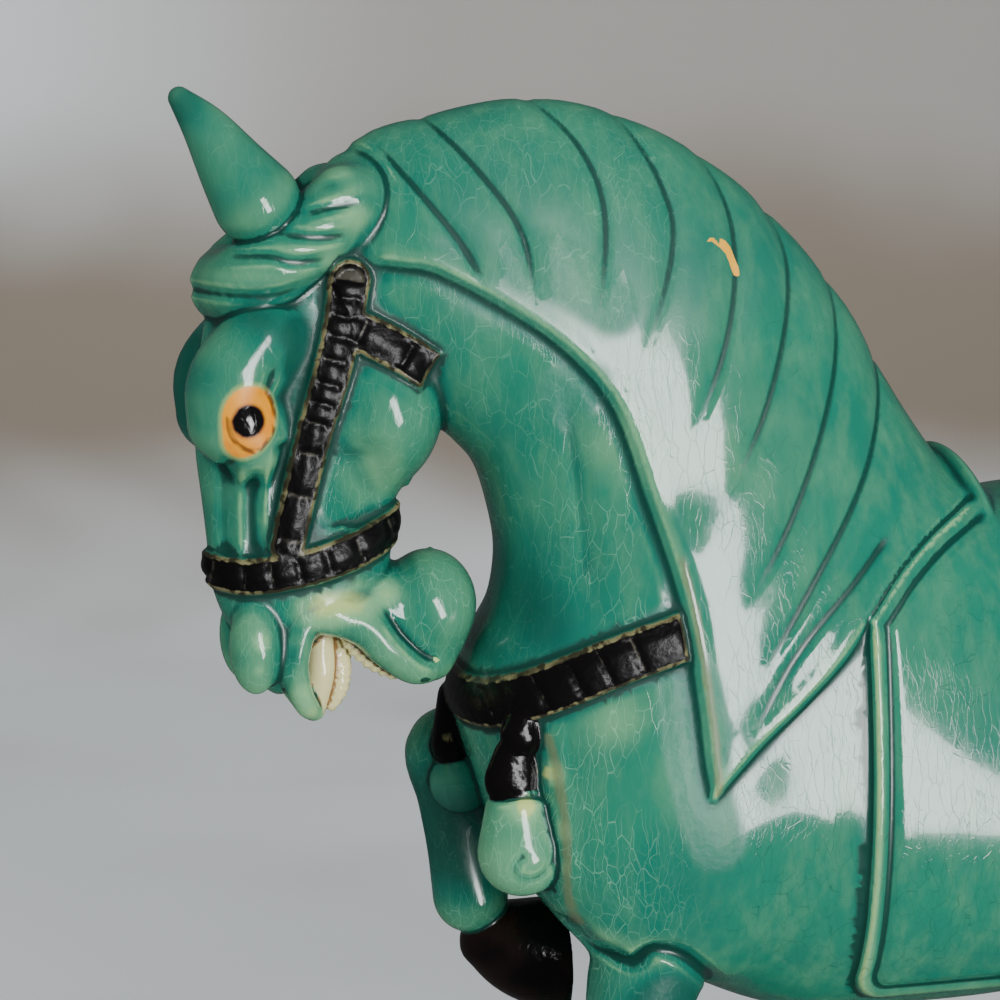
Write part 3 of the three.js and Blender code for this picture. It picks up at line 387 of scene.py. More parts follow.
@dataclass
class ManeCarving:
    """The mane's raised sheet: a rolled border, a moat in front of it and long grooves between its locks."""

    border: Path2 = (
        (-151, 352), (-134, 350), (-124.5, 348), (-108.5, 339.5), (-92, 328), (-79, 312.5), (-71, 289),
        (-65, 268), (-62, 252), (-60, 235), (-59, 222), (-57.5, 212),
    )
    lower: Path2 = (
        (-57.5, 212), (-45.4, 224), (-33.4, 234.5), (-21.7, 246), (-12.5, 258), (-2, 270), (13, 280),
        (40, 290),
    )
    locks: tuple[Path2, ...] = (
        ((-143, 386), (-127, 366), (-118, 354), (-112, 342)),
        ((-130, 393), (-113, 373), (-103, 357), (-99.5, 336)),
        ((-101, 397), (-86, 379), (-81, 360), (-85, 327)),
        ((-76, 393), (-65, 371), (-63, 353), (-74, 319)),
        ((-52, 383), (-45, 359), (-49, 330), (-62, 299)),
        ((-33, 371), (-29, 347), (-38, 314), (-52, 286)),
        ((-12, 353), (-18, 320), (-33, 284), (-49, 258)),
        ((5, 337), (-9, 298), (-30, 264), (-50, 234)),
        ((-4, 280), (-17, 266), (-34, 248), (-50, 222)),
    )
    reach: float = 70
    front: float = -60
    lowest: float = 205
    sheet_raise: float = 1.4
    step: float = 1.6
    ridge: float = 0.45
    ridge_in: float = 2.2
    ridge_width: float = 2.4
    moat: float = 0.35
    moat_out: float = 2.6
    moat_width: float = 2.0
    lock_depth: float = 0.55
    lock_half: float = 2.3
    lock_fades: Point2 = (0.16, 0.3)
    billow: float = 0.6
    billow_reach: float = 4.6
    billow_rise: float = 4

    def lay(self, x: Array, z: Array) -> tuple[Array, Array]:
        """Lay the mane over side-view places.

        Args:
            x: Places along the horse.
            z: Heights.

        Returns:
            The relief's height, and how far inside the mane's edge each place is.
        """
        border, _, border_side = SideCurve(self.border, 48).nearest(x, z, self.reach)
        lower, _, lower_side = SideCurve(self.lower, 36).nearest(x, z, self.reach)
        beyond_border = np.where(border >= FAR, x > self.front, border_side > 0)
        over_lower = np.where(lower >= FAR, x < self.lower[-1][0], lower_side > 0)
        inside = beyond_border & over_lower & (z > self.lowest)
        gap = np.minimum(border, lower)
        signed = np.where(inside, gap, -gap)
        grooves, valley = np.zeros(x.shape), np.zeros(x.shape)
        for path in self.locks:
            distance, along, _ = SideCurve(path).nearest(x, z, 3 * self.billow_reach)
            fade = ramp(along, 0, self.lock_fades[0]) * ramp(1 - along, 0, self.lock_fades[1])
            grooves = np.maximum(grooves, fade * groove(distance, self.lock_half))
            valley = np.maximum(valley, fade * bell(distance, 0, self.billow_reach))
        relief = self.sheet_raise * ramp(signed, -self.step, self.step)
        relief = relief + self.ridge * bell(signed, self.ridge_in, self.ridge_width)
        relief = relief - self.moat * bell(signed, -self.moat_out, self.moat_width)
        billow = self.billow * valley * ramp(signed, 0, self.billow_rise)
        relief -= np.where(inside, self.lock_depth * grooves + billow, 0)
        return relief, signed


@dataclass
class SaddleGear:
    """Saddle cloth over the barrel and a plain low saddle on it."""

    front_top: Point2 = (-14, 262)
    front_bottom: Point2 = (-12, 150)
    back: float = 98
    bottom: float = 147
    corner: float = 10
    raised: float = 2.2
    step: float = 0.8
    seam: float = 4.6
    seam_depth: float = 0.9
    seam_width: float = 1.4
    seat: Mass = Mass((57, 0, 273), (36, 32, 12), 2)
    pommel: Point2 = (29, -0.25)
    cantle: Point2 = (87, 0.35)
    arch: Point3 = (6, 30, 24)
    arch_blend: float = 6

    def cloth_inside(self, x: Array, z: Array) -> Array:
        """Return how far inside the cloth's edge side-view places lie."""
        lean = (z - self.front_bottom[1]) / (self.front_top[1] - self.front_bottom[1])
        front = self.front_bottom[0] + (self.front_top[0] - self.front_bottom[0]) * lean
        past_side = np.maximum(front - x, x - self.back) + self.corner
        return self.corner - rounded_corner(past_side, self.bottom - z + self.corner)

    def cloth_height(self, inside: Array) -> Array:
        """Return the cloth's height, given how far inside its edge each place lies."""
        seam = self.seam_depth * bell(inside, self.seam, self.seam_width)
        return self.raised * ramp(inside, -self.step, self.step) - seam

    def distance(self, x: Array, y: Array, z: Array) -> Array:
        """Return the distance of points from the saddle."""
        thick, half, rise = self.arch

        def arch(centre: float, lean: float) -> Array:
            """Return the distance from a leaning arch of the saddle."""
            up = z - self.seat.centre[2]
            off = x - centre - lean * up
            return (np.sqrt((off / thick) ** 2 + (y / half) ** 2 + (up / rise) ** 2) - 1) * thick

        arches = np.minimum(arch(*self.pommel), arch(*self.cantle))
        return smooth_union(self.seat.distance(x, y, z), arches, self.arch_blend)


@dataclass
class Slab:
    """The low base that the hooves stand on, cast with them."""

    min_x: float = -104
    max_x: float = 172
    half_y: float = 48
    top: float = 12
    corner: float = 16
    edge: float = 2.5
    blend: float = 1.2

    def distance(self, x: Array, y: Array, z: Array) -> Array:
        """Return the distance of points from the slab."""
        past_end = np.abs(x - (self.min_x + self.max_x) / 2) - (self.max_x - self.min_x) / 2 + self.corner
        rim = rounded_corner(past_end, np.abs(y) - self.half_y + self.corner) - self.corner + self.edge
        return rounded_corner(rim, z - self.top + self.edge) - self.edge


@dataclass
class Legs:
    """Three standing legs, the raised right foreleg, and their hooves."""

    raised: Chain = Chain((
        (-70, 25, 190, 22), (-92, 27, 205, 14.5), (-111.5, 27, 210.5, 11.6), (-110.5, 27, 197, 9.8),
        (-108, 27, 182, 9.5), (-105, 27, 167, 10.8),
    ), 7)
    raised_hoof: Chain = Chain((
        (-101.5, 27, 152, 6.5), (-97, 27, 153, 10.5), (-88, 27, 149.5, 14.5), (-73, 27, 146, 18),
    ), 1.5)
    sole: float = -79
    near_fore: Chain = Chain((
        (-58, -21, 180, 19), (-70, -24, 150, 14.5), (-68.5, -27, 120, 11), (-68, -27, 99, 10),
        (-67, -27, 74, 7.4), (-67, -27, 46, 9), (-70, -27, 34, 9.5),
    ), 3)
    near_hind: Chain = Chain((
        (132, -17, 205, 33), (117, -24, 168, 23), (136, -27, 137, 14.5), (153, -28, 116, 11),
        (150, -28, 84, 8), (146, -28, 48, 9.6), (142, -28, 34, 9.8),
    ), 12)
    far_hind: Chain = Chain((
        (130, 17, 205, 33), (110, 24, 169, 23), (124, 27, 137, 14.5), (139, 28, 116, 11), (132, 28, 84, 8),
        (124, 28, 48, 9.6), (119, 28, 34, 9.8),
    ), 12)
    tail: Chain = Chain((
        (163, 0, 250, 11), (175.5, 0, 252, 9.5), (180.4, 0, 238, 10.5), (181.4, 0, 220, 9.5),
        (178.4, 0, 200, 7), (177.4, 0, 184, 3.5),
    ), 4)
    hoof_top: float = 10
    hoof_sole: float = 15.5
    hoof_lean: float = 4
    hoof_narrow: float = 1.08
    hoof_taper: float = 0.95
    hoof_overlap: float = 2
    hoof_past: float = 0.3
    hoof_blend: float = 1

    def chains(self) -> tuple[Chain, ...]:
        """Return the legs and the tail."""
        return self.raised, self.near_fore, self.near_hind, self.far_hind, self.tail

    def standing_hooves(self, x: Array, y: Array, z: Array, ground: float) -> Array:
        """Return the distance of points from the three standing hooves."""
        best = np.full(x.shape, FAR)
        for chain in (self.near_fore, self.near_hind, self.far_hind):
            leg_x, leg_y, leg_z, _ = chain.stations[-1]
            down = np.clip((leg_z - z) / (leg_z - ground), -self.hoof_past, 1 + self.hoof_past)
            radius = self.hoof_top + (self.hoof_sole - self.hoof_top) * down
            off = np.hypot(x - leg_x + self.hoof_lean * down, (y - leg_y) * self.hoof_narrow)
            ends = np.maximum(z - leg_z, ground - z) - self.hoof_overlap
            best = np.minimum(best, np.maximum((off - radius) * self.hoof_taper, ends))
        return best

    def lifted_hoof(self, x: Array, y: Array, z: Array) -> Array:
        """Return the distance of points from the raised hoof."""
        return np.maximum(self.raised_hoof.distance(x, y, z), x - self.sole)


@dataclass
class HeadParts:
    """Brows, eyes, ears, forelock, muzzle, lips, teeth and chin."""

    brow: Chain = Chain((
        (-177.4, -11.2, 310, 11.2), (-176.4, -12.4, 320, 12), (-169, -12.6, 331, 10.6),
    ), 3.5, True)
    brow_tail: Mass = Mass((-172, -11.5, 306.5), (9.5, 9.8, 13), 3, True)
    cheek: Mass = Mass((-136.2, 0, 312), (16.8, 21.6, 22), 5)
    eyeball: Mass = Mass((-174, -18.2, 311), (5.2, 4.2, 5.4), 1.0, True)
    nostril: Mass = Mass((-171.3, -9, 250), (7, 7.4, 12.8), 2, True)
    chin: Mass = Mass((-123, 0, 257.5), (13, 13.5, 15), 3)
    lip_fill: Mass = Mass((-164, 0, 248), (7, 12.6, 13), 2)
    jaw_bridge: Chain = Chain(((-150, 0, 264, 11), (-132, 0, 256, 11.5), (-122, 0, 248.5, 8.5)), 3)
    upper_lip: Chain = Chain((
        (-150, -9.5, 257.4, 4.2), (-158, -10, 255.8, 4.0), (-160.9, -10, 247, 3.8), (-160.3, -9, 239, 3.5),
        (-157.6, -6.5, 233, 3.1), (-155, -2.5, 230.4, 2.9),
    ), 1.4, True)
    lower_lip: Chain = Chain((
        (-150, -9, 257.5, 5.0), (-141.3, -9.5, 253.6, 5.8), (-136.5, -9.5, 248.4, 5.4),
        (-128.8, -7.5, 242.6, 5.2), (-122.4, -3, 242, 5.0),
    ), 4, True)
    forelock: Chain = Chain((
        (-147.7, -12.5, 366.6, 8.6), (-154.3, -13, 359.2, 9.8), (-165, -12.5, 350.7, 10.6),
        (-172.6, -9.3, 345.2, 10.5), (-176, 0, 343.8, 9.9),
    ), 1.0, True)
    near_ear: Chain = Chain((
        (-189.2, -12.5, 392.1, 2.9), (-182.5, -12.5, 384.4, 6.0), (-175.6, -12.5, 374, 9.0),
        (-170, -12.5, 366, 11.3),
    ), 0.8)
    far_ear: Chain = Chain((
        (-184.6, 11, 391, 2.9), (-178, 11, 383.4, 5.9), (-171.2, 11, 373, 8.7), (-165.6, 11, 365, 11),
    ), 0.8)
    upper_teeth: Chain = Chain((
        (-152.8, -3.5, 250, 3.2), (-153.4, -4, 241, 4.0), (-154.6, -2.5, 230.8, 2.8),
    ), 1, True)
    palate: Chain = Chain((
        (-148.8, -2, 250, 1.8), (-147.8, -2.5, 244, 3.0), (-148.2, -2.5, 237, 2.9), (-150, -2, 231.8, 1.8),
    ), 1, True)
    lower_teeth: Chain = Chain((
        (-146.5, -6, 249.8, 1.6), (-143.8, -6, 246.8, 1.8), (-139.2, -6, 242.9, 1.8),
        (-133, -4.5, 239.4, 1.5),
    ), 1, True)
    teeth_blend: float = 0.6
    row_blend: float = 0.5
    palate_ripple: float = 0.2
    palate_pitch: float = 2.1
    tooth_ripple: float = 0.3
    tooth_pitch: float = 2.6

    def masses(self) -> tuple[Mass | Chain, ...]:
        """Return the head's rounded forms, in the order in which they are joined."""
        return (self.cheek, self.brow, self.brow_tail, self.chin, self.nostril, self.lip_fill,
                self.jaw_bridge, self.upper_lip, self.lower_lip, self.forelock, self.near_ear, self.far_ear,
                self.eyeball)

    def teeth(self, x: Array, y: Array, z: Array) -> Array:
        """Return the distance of points from the teeth and the ribbed palate behind them."""
        run = (x - z) / math.sqrt(2)
        ribs = self.palate_ripple * np.cos(math.tau / self.palate_pitch * z) + self.palate.distance(x, y, z)
        row = self.tooth_ripple * np.cos(math.tau / self.tooth_pitch * run)
        row = row + self.lower_teeth.distance(x, y, z)
        return smooth_union(np.minimum(self.upper_teeth.distance(x, y, z), ribs), row, self.row_blend)


@dataclass
class Pendants:
    """The drops that hang from the breast strap on black tabs."""

    near_knob: Chain = Chain(((-102.4, -27.5, 231, 4.6), (-103.8, -27.5, 226.5, 6.0)), 0.8, flatten=1.4)
    near_tab: Chain = Chain(((-105, -26.5, 220.5, 6.4), (-106, -26.5, 214.4, 7.8)), 0.8, flatten=1.7)
    near_drop: Chain = Chain(((-104.2, -25.5, 205, 9.2), (-103.3, -25.5, 194.4, 12)), 0.6, flatten=1.15)
    far_tab: Chain = Chain(((-112, 16, 228, 4.8), (-113, 16, 214, 5.8)), 0.8)
    far_drop: Mass = Mass((-110.5, 15.5, 203.5), (8.8, 7.5, 8.8), 0.6)
    curl: Carved = Carved((
        (-104, 196.5), (-106.5, 195), (-107.5, 191.5), (-104.5, 189.4), (-100.5, 190.4), (-97.8, 193.5),
        (-96.8, 197.5),
    ), 0.5, 1.9)
    slot: Carved = Carved(((-113, 209.6), (-105, 210.4), (-96, 209.2)), 0.9, 1.5, 0.3, 0.3)
    carved_near: float = 6

    def tabs(self, x: Array, y: Array, z: Array) -> Array:
        """Return the distance of points from the tabs."""
        near = np.minimum(self.near_knob.distance(x, y, z), self.near_tab.distance(x, y, z))
        return np.minimum(near, self.far_tab.distance(x, y, z))

    def drops(self, x: Array, y: Array, z: Array) -> Array:
        """Return the distance of points from the drops, the near one with its slot and curl."""
        near = self.near_drop.distance(x, y, z)
        close = near < self.carved_near
        near[close] += self.curl.depth_at(x[close], z[close]) + self.slot.depth_at(x[close], z[close])
        return np.minimum(near, self.far_drop.distance(x, y, z))


@dataclass
class HorseForm:
    """The whole casting as one distance field."""

    trunk: tuple[Station, ...] = (
        Station((-140, 316), (-158, 361.5), 14), Station((-124, 311), (-146, 378.5), 18.5),
        Station((-117, 303), (-121, 387), 22, 2.1), Station((-110, 295), (-92, 391), 25, 2.2),
        Station((-106, 283), (-62, 383), 27, 2.2), Station((-104, 270), (-35, 366), 29.5, 2.2),
        Station((-106, 256), (-10, 339), 33, 2.3), Station((-112, 244), (8, 309), 38, 2.4),
        Station((-115, 229), (24, 289), 42, 2.5), Station((-110, 211), (42, 280), 45, 2.5),
        Station((-98, 182), (58, 276), 47, 2.5), Station((-66, 158), (70, 274), 48.5, 2.3),
        Station((-28, 140), (80, 273), 49, 2.3), Station((12, 137), (90, 272), 49.5, 2.2),
        Station((52, 139), (102, 272), 49, 2.2), Station((92, 148), (120, 273), 47, 2.2),
        Station((122, 166), (140, 268), 42, 2.2), Station((142, 188), (154, 254), 32, 2.1),
        Station((152, 208), (160, 238), 16),
    )
    skull: tuple[Station, ...] = (
        Station((-170, 356), (-140, 358), 10), Station((-178, 347), (-132, 348), 15),
        Station((-182, 335), (-125, 335), 17), Station((-184, 322), (-121, 321), 17.3),
        Station((-185, 310), (-122, 309), 16.8), Station((-185, 300), (-125.2, 300), 15.8),
        Station((-184, 291), (-130.5, 291), 15), Station((-183, 282), (-132.6, 284), 14.4),
        Station((-182, 272), (-133, 276.5), 14.2, 2.2), Station((-181, 264), (-134.5, 269.5), 14, 2.3),
        Station((-178, 256), (-140, 262.5), 13.4, 2.3), Station((-173, 249), (-148, 255.5), 12, 2.2),
        Station((-168, 244), (-157, 247), 9),
    )
    rump: Mass = Mass((130, 0, 222), (50, 46, 50), 12)
    shoulder: Mass = Mass((-62, -24, 196), (34, 22, 40), 16, True)
    throat_blend: Point2 = (0.3, 6)
    throat_rise: Point2 = (288, 306)
    head_reach: float = -90
    strap_gap: float = 1.5
    mane_rise: Point2 = (-146, -136)
    cloth_cover: float = 0.65
    fold_rise: Point2 = (16, 26)
    forelock_grooves: tuple[Carved, ...] = (
        Carved((
            (-157, 374), (-152, 378), (-146, 379), (-139.6, 376.6), (-137, 370), (-138.6, 361),
            (-144.5, 350.5),
        ), 0.8, 2.6, 0.2, 0.2),
        Carved(((-143.5, 372), (-151.6, 370), (-158, 367.6)), 0.6, 2.3, 0.5, 0.4),
        Carved(((-142, 366.2), (-151.4, 364.6), (-162, 362)), 0.9, 2.4, 0.4, 0.3),
        Carved(((-144, 358.6), (-155.4, 357.1), (-170, 358.4)), 0.95, 2.5, 0.4, 0.3),
        Carved(((-147.5, 353), (-160.6, 351.1), (-169.5, 352.4), (-183, 351.5)), 0.95, 2.5, 0.3, 0.2),
        Carved(((-153, 347.4), (-165.5, 343.2), (-175, 342.6), (-189, 343.6)), 0.95, 2.5, 0.3, 0.1),
    )
    face_lines: tuple[Carved, ...] = (
        Carved(((-178.6, 303), (-178.2, 268)), 1.0, 3.2), Carved(((-172, 299), (-171.8, 268)), 1.2, 3.4),
        Carved(((-165, 306), (-165.5, 292), (-166.5, 268)), 1.0, 3.4),
        Carved(((-170.4, 316.5), (-168.8, 320.4), (-167.6, 324), (-165.6, 329)), 1.2, 2.4, 0.1, 0.6),
        Carved((
            (-139.5, 261), (-133.9, 252.6), (-130.1, 248.1), (-125.8, 244.6), (-118.5, 242),
        ), 1.0, 2.6, 0.2, 0.3),
        Carved(((-93, 322), (-90.3, 309), (-87.4, 290), (-86.3, 270), (-88.8, 254)), 0.9, 4.4, 0.35, 0.3),
        Carved(((-96.5, 232), (-95, 216), (-94.2, 200), (-92.8, 184)), -0.6, 3.4),
        Carved(((-143.5, 307), (-145.5, 281)), 1.2, 11, 0.25, 0.01),
    )
    leg_folds: tuple[Carved, ...] = (
        Carved((
            (-94, 179), (-87, 170.5), (-81, 167), (-75.5, 165), (-70.5, 169), (-63, 167), (-54, 159),
            (-46, 151),
        ), 2.2, 3.8),
    )
    head: HeadParts = field(default_factory=HeadParts)
    harness: Harness = field(default_factory=Harness)
    mane: ManeCarving = field(default_factory=ManeCarving)
    saddle: SaddleGear = field(default_factory=SaddleGear)
    legs: Legs = field(default_factory=Legs)
    pendants: Pendants = field(default_factory=Pendants)
    slab: Slab = field(default_factory=Slab)

    def side_maps(self, x: Array, z: Array) -> dict[str, Array]:
        """Work out everything that depends only on the place in the side view.

        Args:
            x: Places along the horse.
            z: Heights.

        Returns:
            Named maps: sections of trunk and skull, relief height, and places inside the harness and cloth.
        """
        gear = self.harness
        height, band, rung = gear.lay((gear.cheek, gear.branch, gear.nose, gear.crupper), x, z)
        chest, chest_band, chest_rung = gear.lay((gear.breast,), x, z)
        lines = sum(line.depth_at(x, z) for line in self.face_lines + self.forelock_grooves)
        mane, in_mane = self.mane.lay(x, z)
        mane = mane * ramp(x, *self.mane_rise)
        before_mane = -in_mane - self.strap_gap
        chest = chest * ramp(before_mane, -gear.edge, gear.edge)
        chest_band = np.minimum(chest_band, before_mane)
        bare = 1 - ramp(np.maximum(band, chest_band), -gear.edge, gear.edge)
        cloth = np.minimum(self.saddle.cloth_inside(x, z), -in_mane)
        under_cloth = 1 - self.cloth_cover * ramp(cloth, -1, 1)
        relief = height + bare * (mane - lines) * under_cloth + self.saddle.cloth_height(cloth) * bare
        fold = sum(line.depth_at(x, z) for line in self.leg_folds)
        maps = {"relief": relief, "fold": fold, "band": band, "rung": rung, "cloth": cloth,
                "chest": chest, "chest_band": chest_band, "chest_rung": chest_rung}
        for name, stations in (("trunk", self.trunk), ("skull", self.skull)):
            section = SectionFan(stations).section(x, z)
            maps.update({f"{name}_{part}": row for part, row in zip(SectionFan.PARTS, section)})
        return maps

    def distances(self, maps: Mapping[str, Array], x: Array, y: Array, z: Array) -> dict[str, Array]:
        """Measure points against the casting and against each part that has its own colour.

        Args:
            maps: Side maps at the same points.
            x: Places along the horse.
            y: Places across the horse.
            z: Heights.

        Returns:
            Distances named whole, body, torso, teeth, tabs, drops and hooves.
        """
        def swept(name: str) -> Array:
            """Return the distance from the trunk or the skull."""
            return SectionFan.distance([maps[f"{name}_{part}"] for part in SectionFan.PARTS], y)

        def joined(start: Array, parts: Sequence[Any]) -> Array:
            """Return the distance once more parts have melted into a form."""
            for part in parts:
                start = smooth_union(start, part.distance(x, y, z), part.blend)
            return start

        torso = joined(swept("trunk"), (self.rump, self.shoulder)) - maps["chest"]
        skull = joined(swept("skull"), self.head.masses())
        teeth = self.head.teeth(x, y, z)
        skull = smooth_union(skull, teeth, self.head.teeth_blend)
        low, high = self.throat_blend
        throat = low + (high - low) * ramp(z, *self.throat_rise)
        body = np.where(x < self.head_reach, smooth_union(torso, skull, throat), torso) - maps["relief"]
        whole = joined(body, self.legs.chains()) + maps["fold"] * ramp(-y, *self.fold_rise)
        lifted, standing = self.legs.lifted_hoof(x, y, z), self.legs.standing_hooves(x, y, z, self.slab.top)
        tabs, drops = self.pendants.tabs(x, y, z), self.pendants.drops(x, y, z)
        for part, blend in (
            (lifted, self.legs.raised_hoof.blend), (tabs, self.pendants.near_tab.blend),
            (drops, self.pendants.near_drop.blend), (self.saddle.distance(x, y, z), self.saddle.seat.blend),
            (standing, self.legs.hoof_blend), (self.slab.distance(x, y, z), self.slab.blend),
        ):
            whole = smooth_union(whole, part, blend)
        return {"whole": np.maximum(whole, -z), "body": body, "torso": torso - maps["relief"], "teeth": teeth,
                "tabs": tabs, "drops": drops, "hooves": np.minimum(standing, lifted)}


class SideGrid:
    """Side maps on a fine grid, read at any place between its points."""

    def __init__(self, form: HorseForm, low: Array, high: Array, pitch: float) -> None:
        """Work the maps out once over the whole side view."""
        self.low, self.pitch = low, pitch
        axes = [low[a] + pitch * np.arange(int(math.ceil((high[a] - low[a]) / pitch)) + 1) for a in (0, 2)]
        x, z = np.meshgrid(*axes, indexing="ij")
        self.maps = {name: values.astype(np.float32) for name, values in form.side_maps(x, z).items()}

    def at(self, x: Array, z: Array) -> dict[str, Array]:
        """Return every map at the given places."""
        shape = next(iter(self.maps.values())).shape
        gx = np.clip((x - self.low[0]) / self.pitch, 0, shape[0] - 1.001)
        gz = np.clip((z - self.low[2]) / self.pitch, 0, shape[1] - 1.001)
        i, k = gx.astype(int), gz.astype(int)
        fx, fz = gx - i, gz - k
        flat = i * shape[1] + k
        result = {}
        for name, values in self.maps.items():
            cells = values.ravel()
            low = cells[flat] * (1 - fz) + cells[flat + 1] * fz
            high = cells[flat + shape[1]] * (1 - fz) + cells[flat + shape[1] + 1] * fz
            result[name] = low * (1 - fx) + high * fx
        return result


@dataclass
class FieldMesher:
    """Samples the field near its surface and draws the surface as a net of quads."""

    form: HorseForm
    pitch: float = 1.0
    coarse: int = 4
    low: Point3 = (-198, -58, -4)
    high: Point3 = (198, 58, 402)
    chunk: int = 400_000
    side_pitch: float = 0.5
    near_cells: float = 1.15
    near_spare: float = 1.5
    flattest: float = 0.25
    longest_step: float = 0.6

    def __post_init__(self) -> None:
        """Lay out the grid and the side maps."""
        block = self.pitch * self.coarse
        cells = [self.coarse * int(math.ceil((high - low) / block)) for low, high in zip(self.low, self.high)]
        self.shape = tuple(n + 1 for n in cells)
        self.origin = np.array(self.low, dtype=float)
        top = self.origin + self.pitch * np.array(cells)
        self.side = SideGrid(self.form, self.origin, top, min(self.side_pitch, self.pitch / 2))

    def measure(self, points: Array) -> Array:
        """Return the casting's distance at points, worked out in chunks."""
        return np.concatenate([
            self.form.distances(self.side.at(p[:, 0], p[:, 2]), *p.T)["whole"]
            for p in np.array_split(points, max(1, len(points) // self.chunk))
        ])

    def sample(self) -> Array:
        """Return the field on the whole grid, exact near the surface."""
        coarse_shape = tuple((n - 1) // self.coarse + 1 for n in self.shape)
        coarse_points = np.indices(coarse_shape).reshape(3, -1).T * (self.pitch * self.coarse) + self.origin
        rough = self.measure(coarse_points).reshape(coarse_shape)
        nearest = np.abs(rough)
        for axis, count in enumerate(coarse_shape):
            ahead = np.minimum(np.arange(count) + 1, count - 1)
            nearest = np.minimum(nearest, np.take(nearest, ahead, axis))
        inner = tuple(slice(0, n) for n in self.shape)

        def spread(grid: Array) -> Array:
            """Return a coarse grid repeated onto the fine one."""
            for axis in range(3):
                grid = np.repeat(grid, self.coarse, axis)
            return grid[inner]

        values = spread(rough).astype(np.float32)
        active = spread(nearest < self.pitch * self.coarse * self.near_cells + self.near_spare)
        index = np.argwhere(active)
        values[active] = self.measure(index * self.pitch + self.origin)
        values[values == 0] = 1e-6
        return values

    def net(self, values: Array) -> tuple[Array, Array]:
        """Draw the zero surface.

        Args:
            values: The field on the grid.

        Returns:
            Vertices in millimetres, and quads.
        """
        solid = values < 0
        steps = np.eye(3, dtype=int)
        cell_ids, crossings, flips = [], [], []
        for axis in range(3):
            start = tuple(slice(0, -1) if a == axis else slice(None) for a in range(3))
            end = tuple(slice(1, None) if a == axis else slice(None) for a in range(3))
            edge = np.argwhere(solid[start] != solid[end])
            step, u, w = (steps[(axis + n) % 3] for n in range(3))
            first = values[tuple(edge.T)]
            second = values[tuple((edge + step).T)]
            crossings.append(edge + (first / (first - second))[:, None] * step)
            around = [edge, edge - u, edge - u - w, edge - w]
            cell_ids.append(np.stack([np.ravel_multi_index(tuple(c.T), self.shape) for c in around], axis=1))
            flips.append(~(first < 0))
        ids = np.concatenate(cell_ids)
        points = np.repeat(np.concatenate(crossings), 4, axis=0)
        _, inverse = np.unique(ids.ravel(), return_inverse=True)
        count = np.bincount(inverse)
        middle = np.stack([np.bincount(inverse, points[:, a]) / count for a in range(3)], axis=1)
        quads = inverse.reshape(-1, 4)
        flip = np.concatenate(flips)
        quads[flip] = quads[flip][:, ::-1]
        return middle * self.pitch + self.origin, quads

    def settle(self, vertices: Array) -> Array:
        """Return vertices moved onto the true surface, which lies near them."""
        slope = self.gradient(vertices)
        step = self.measure(vertices) / np.maximum((slope**2).sum(axis=1), self.flattest)
        return vertices - np.clip(step, -self.longest_step, self.longest_step)[:, None] * slope

    def gradient(self, points: Array, reach: float = 0.35) -> Array:
        """Return the field's slope at points."""
        rises = [self.measure(points + axis) - self.measure(points - axis) for axis in np.eye(3) * reach]
        return np.stack(rises, axis=1) / (2 * reach)


@dataclass(frozen=True)
class Patch:
    """A soft round patch in the side view, on both of the horse's sides or on the far one alone."""

    x: float
    z: float
    reach: float
    strength: float
    far_only: bool = False
    far_rise: Point2 = (0, 4)

    def at(self, x: Array, y: Array, z: Array) -> Array:
        """Return the patch's strength at points."""
        share = bell(np.hypot(x - self.x, z - self.z), 0, self.reach)
        return self.strength * (share * ramp(y, *self.far_rise) if self.far_only else share)


def patches(*rows: Sequence[float]) -> tuple[Patch, ...]:
    """Make patches from rows of place (x, z), reach, strength and, for the far side alone, True."""
    return tuple(Patch(*row) for row in rows)


class Mark(Enum):
    """Places of colour, each kept on the mesh as a depth in millimetres or a strength, positive inside."""

    STRAP = "strap"
    RUNG = "rung"
    TAB = "tab"
    DROP = "drop"
    HOOF = "hoof"
    TEETH = "teeth"
    EYE_RING = "eye_ring"
    PUPIL = "pupil"
    POOL = "pool"
    HOLLOW = "hollow"
    GOLD = "gold"
    # Glaze tone with painted light: paler where the glaze runs thin, plus painted shade and a few painted
    # highlights.
    TONE = "tone_and_painted_light"
    DULL = "dull"
    SEAM = "seam"
    LID = "lid"


@dataclass
class EyePaint:
    """The painted eye: a ring with a lobe at its lower front, two lids' lines and a round pupil."""

    centre: Point2 = (-174.1, 311.7)
    half: Point2 = (7.1, 8.5)
    lobe: Point2 = (-176.2, 305.6)
    lobe_radius: float = 4.1
    pupil_centre: Point2 = (-174.4, 311.0)
    pupil: float = 4.1
    lids: tuple[Path2, ...] = (
        ((-169.4, 318.2), (-167.8, 315.2), (-167.2, 311), (-168.2, 307.2), (-171.6, 303.2)),
        ((-179.6, 312.6), (-179.2, 308.6), (-177.4, 305.4), (-174.8, 303.6), (-172.2, 302.8)),
    )
    lid_half: float = 0.75
    lid_reach: float = 3
    lobe_blend: float = 3
    outer_side: float = 12

    def rings(self, x: Array, y: Array, z: Array) -> tuple[Array, Array, Array]:
        """Return how far inside the ring, the pupil and a lid's line points lie."""
        off_x, off_z = (x - self.centre[0]) / self.half[0], (z - self.centre[1]) / self.half[1]
        lobe = np.hypot(x - self.lobe[0], z - self.lobe[1]) - self.lobe_radius
        ring = -smooth_union((np.hypot(off_x, off_z) - 1) * self.half[0], lobe, self.lobe_blend)
        pupil = self.pupil - np.hypot(x - self.pupil_centre[0], z - self.pupil_centre[1])
        lid = self.lid_half - nearest_of(self.lids, x, z, self.lid_reach)
        side = np.abs(y) - self.outer_side
        return np.minimum(ring, side), np.minimum(pupil, side), np.minimum(lid, side)


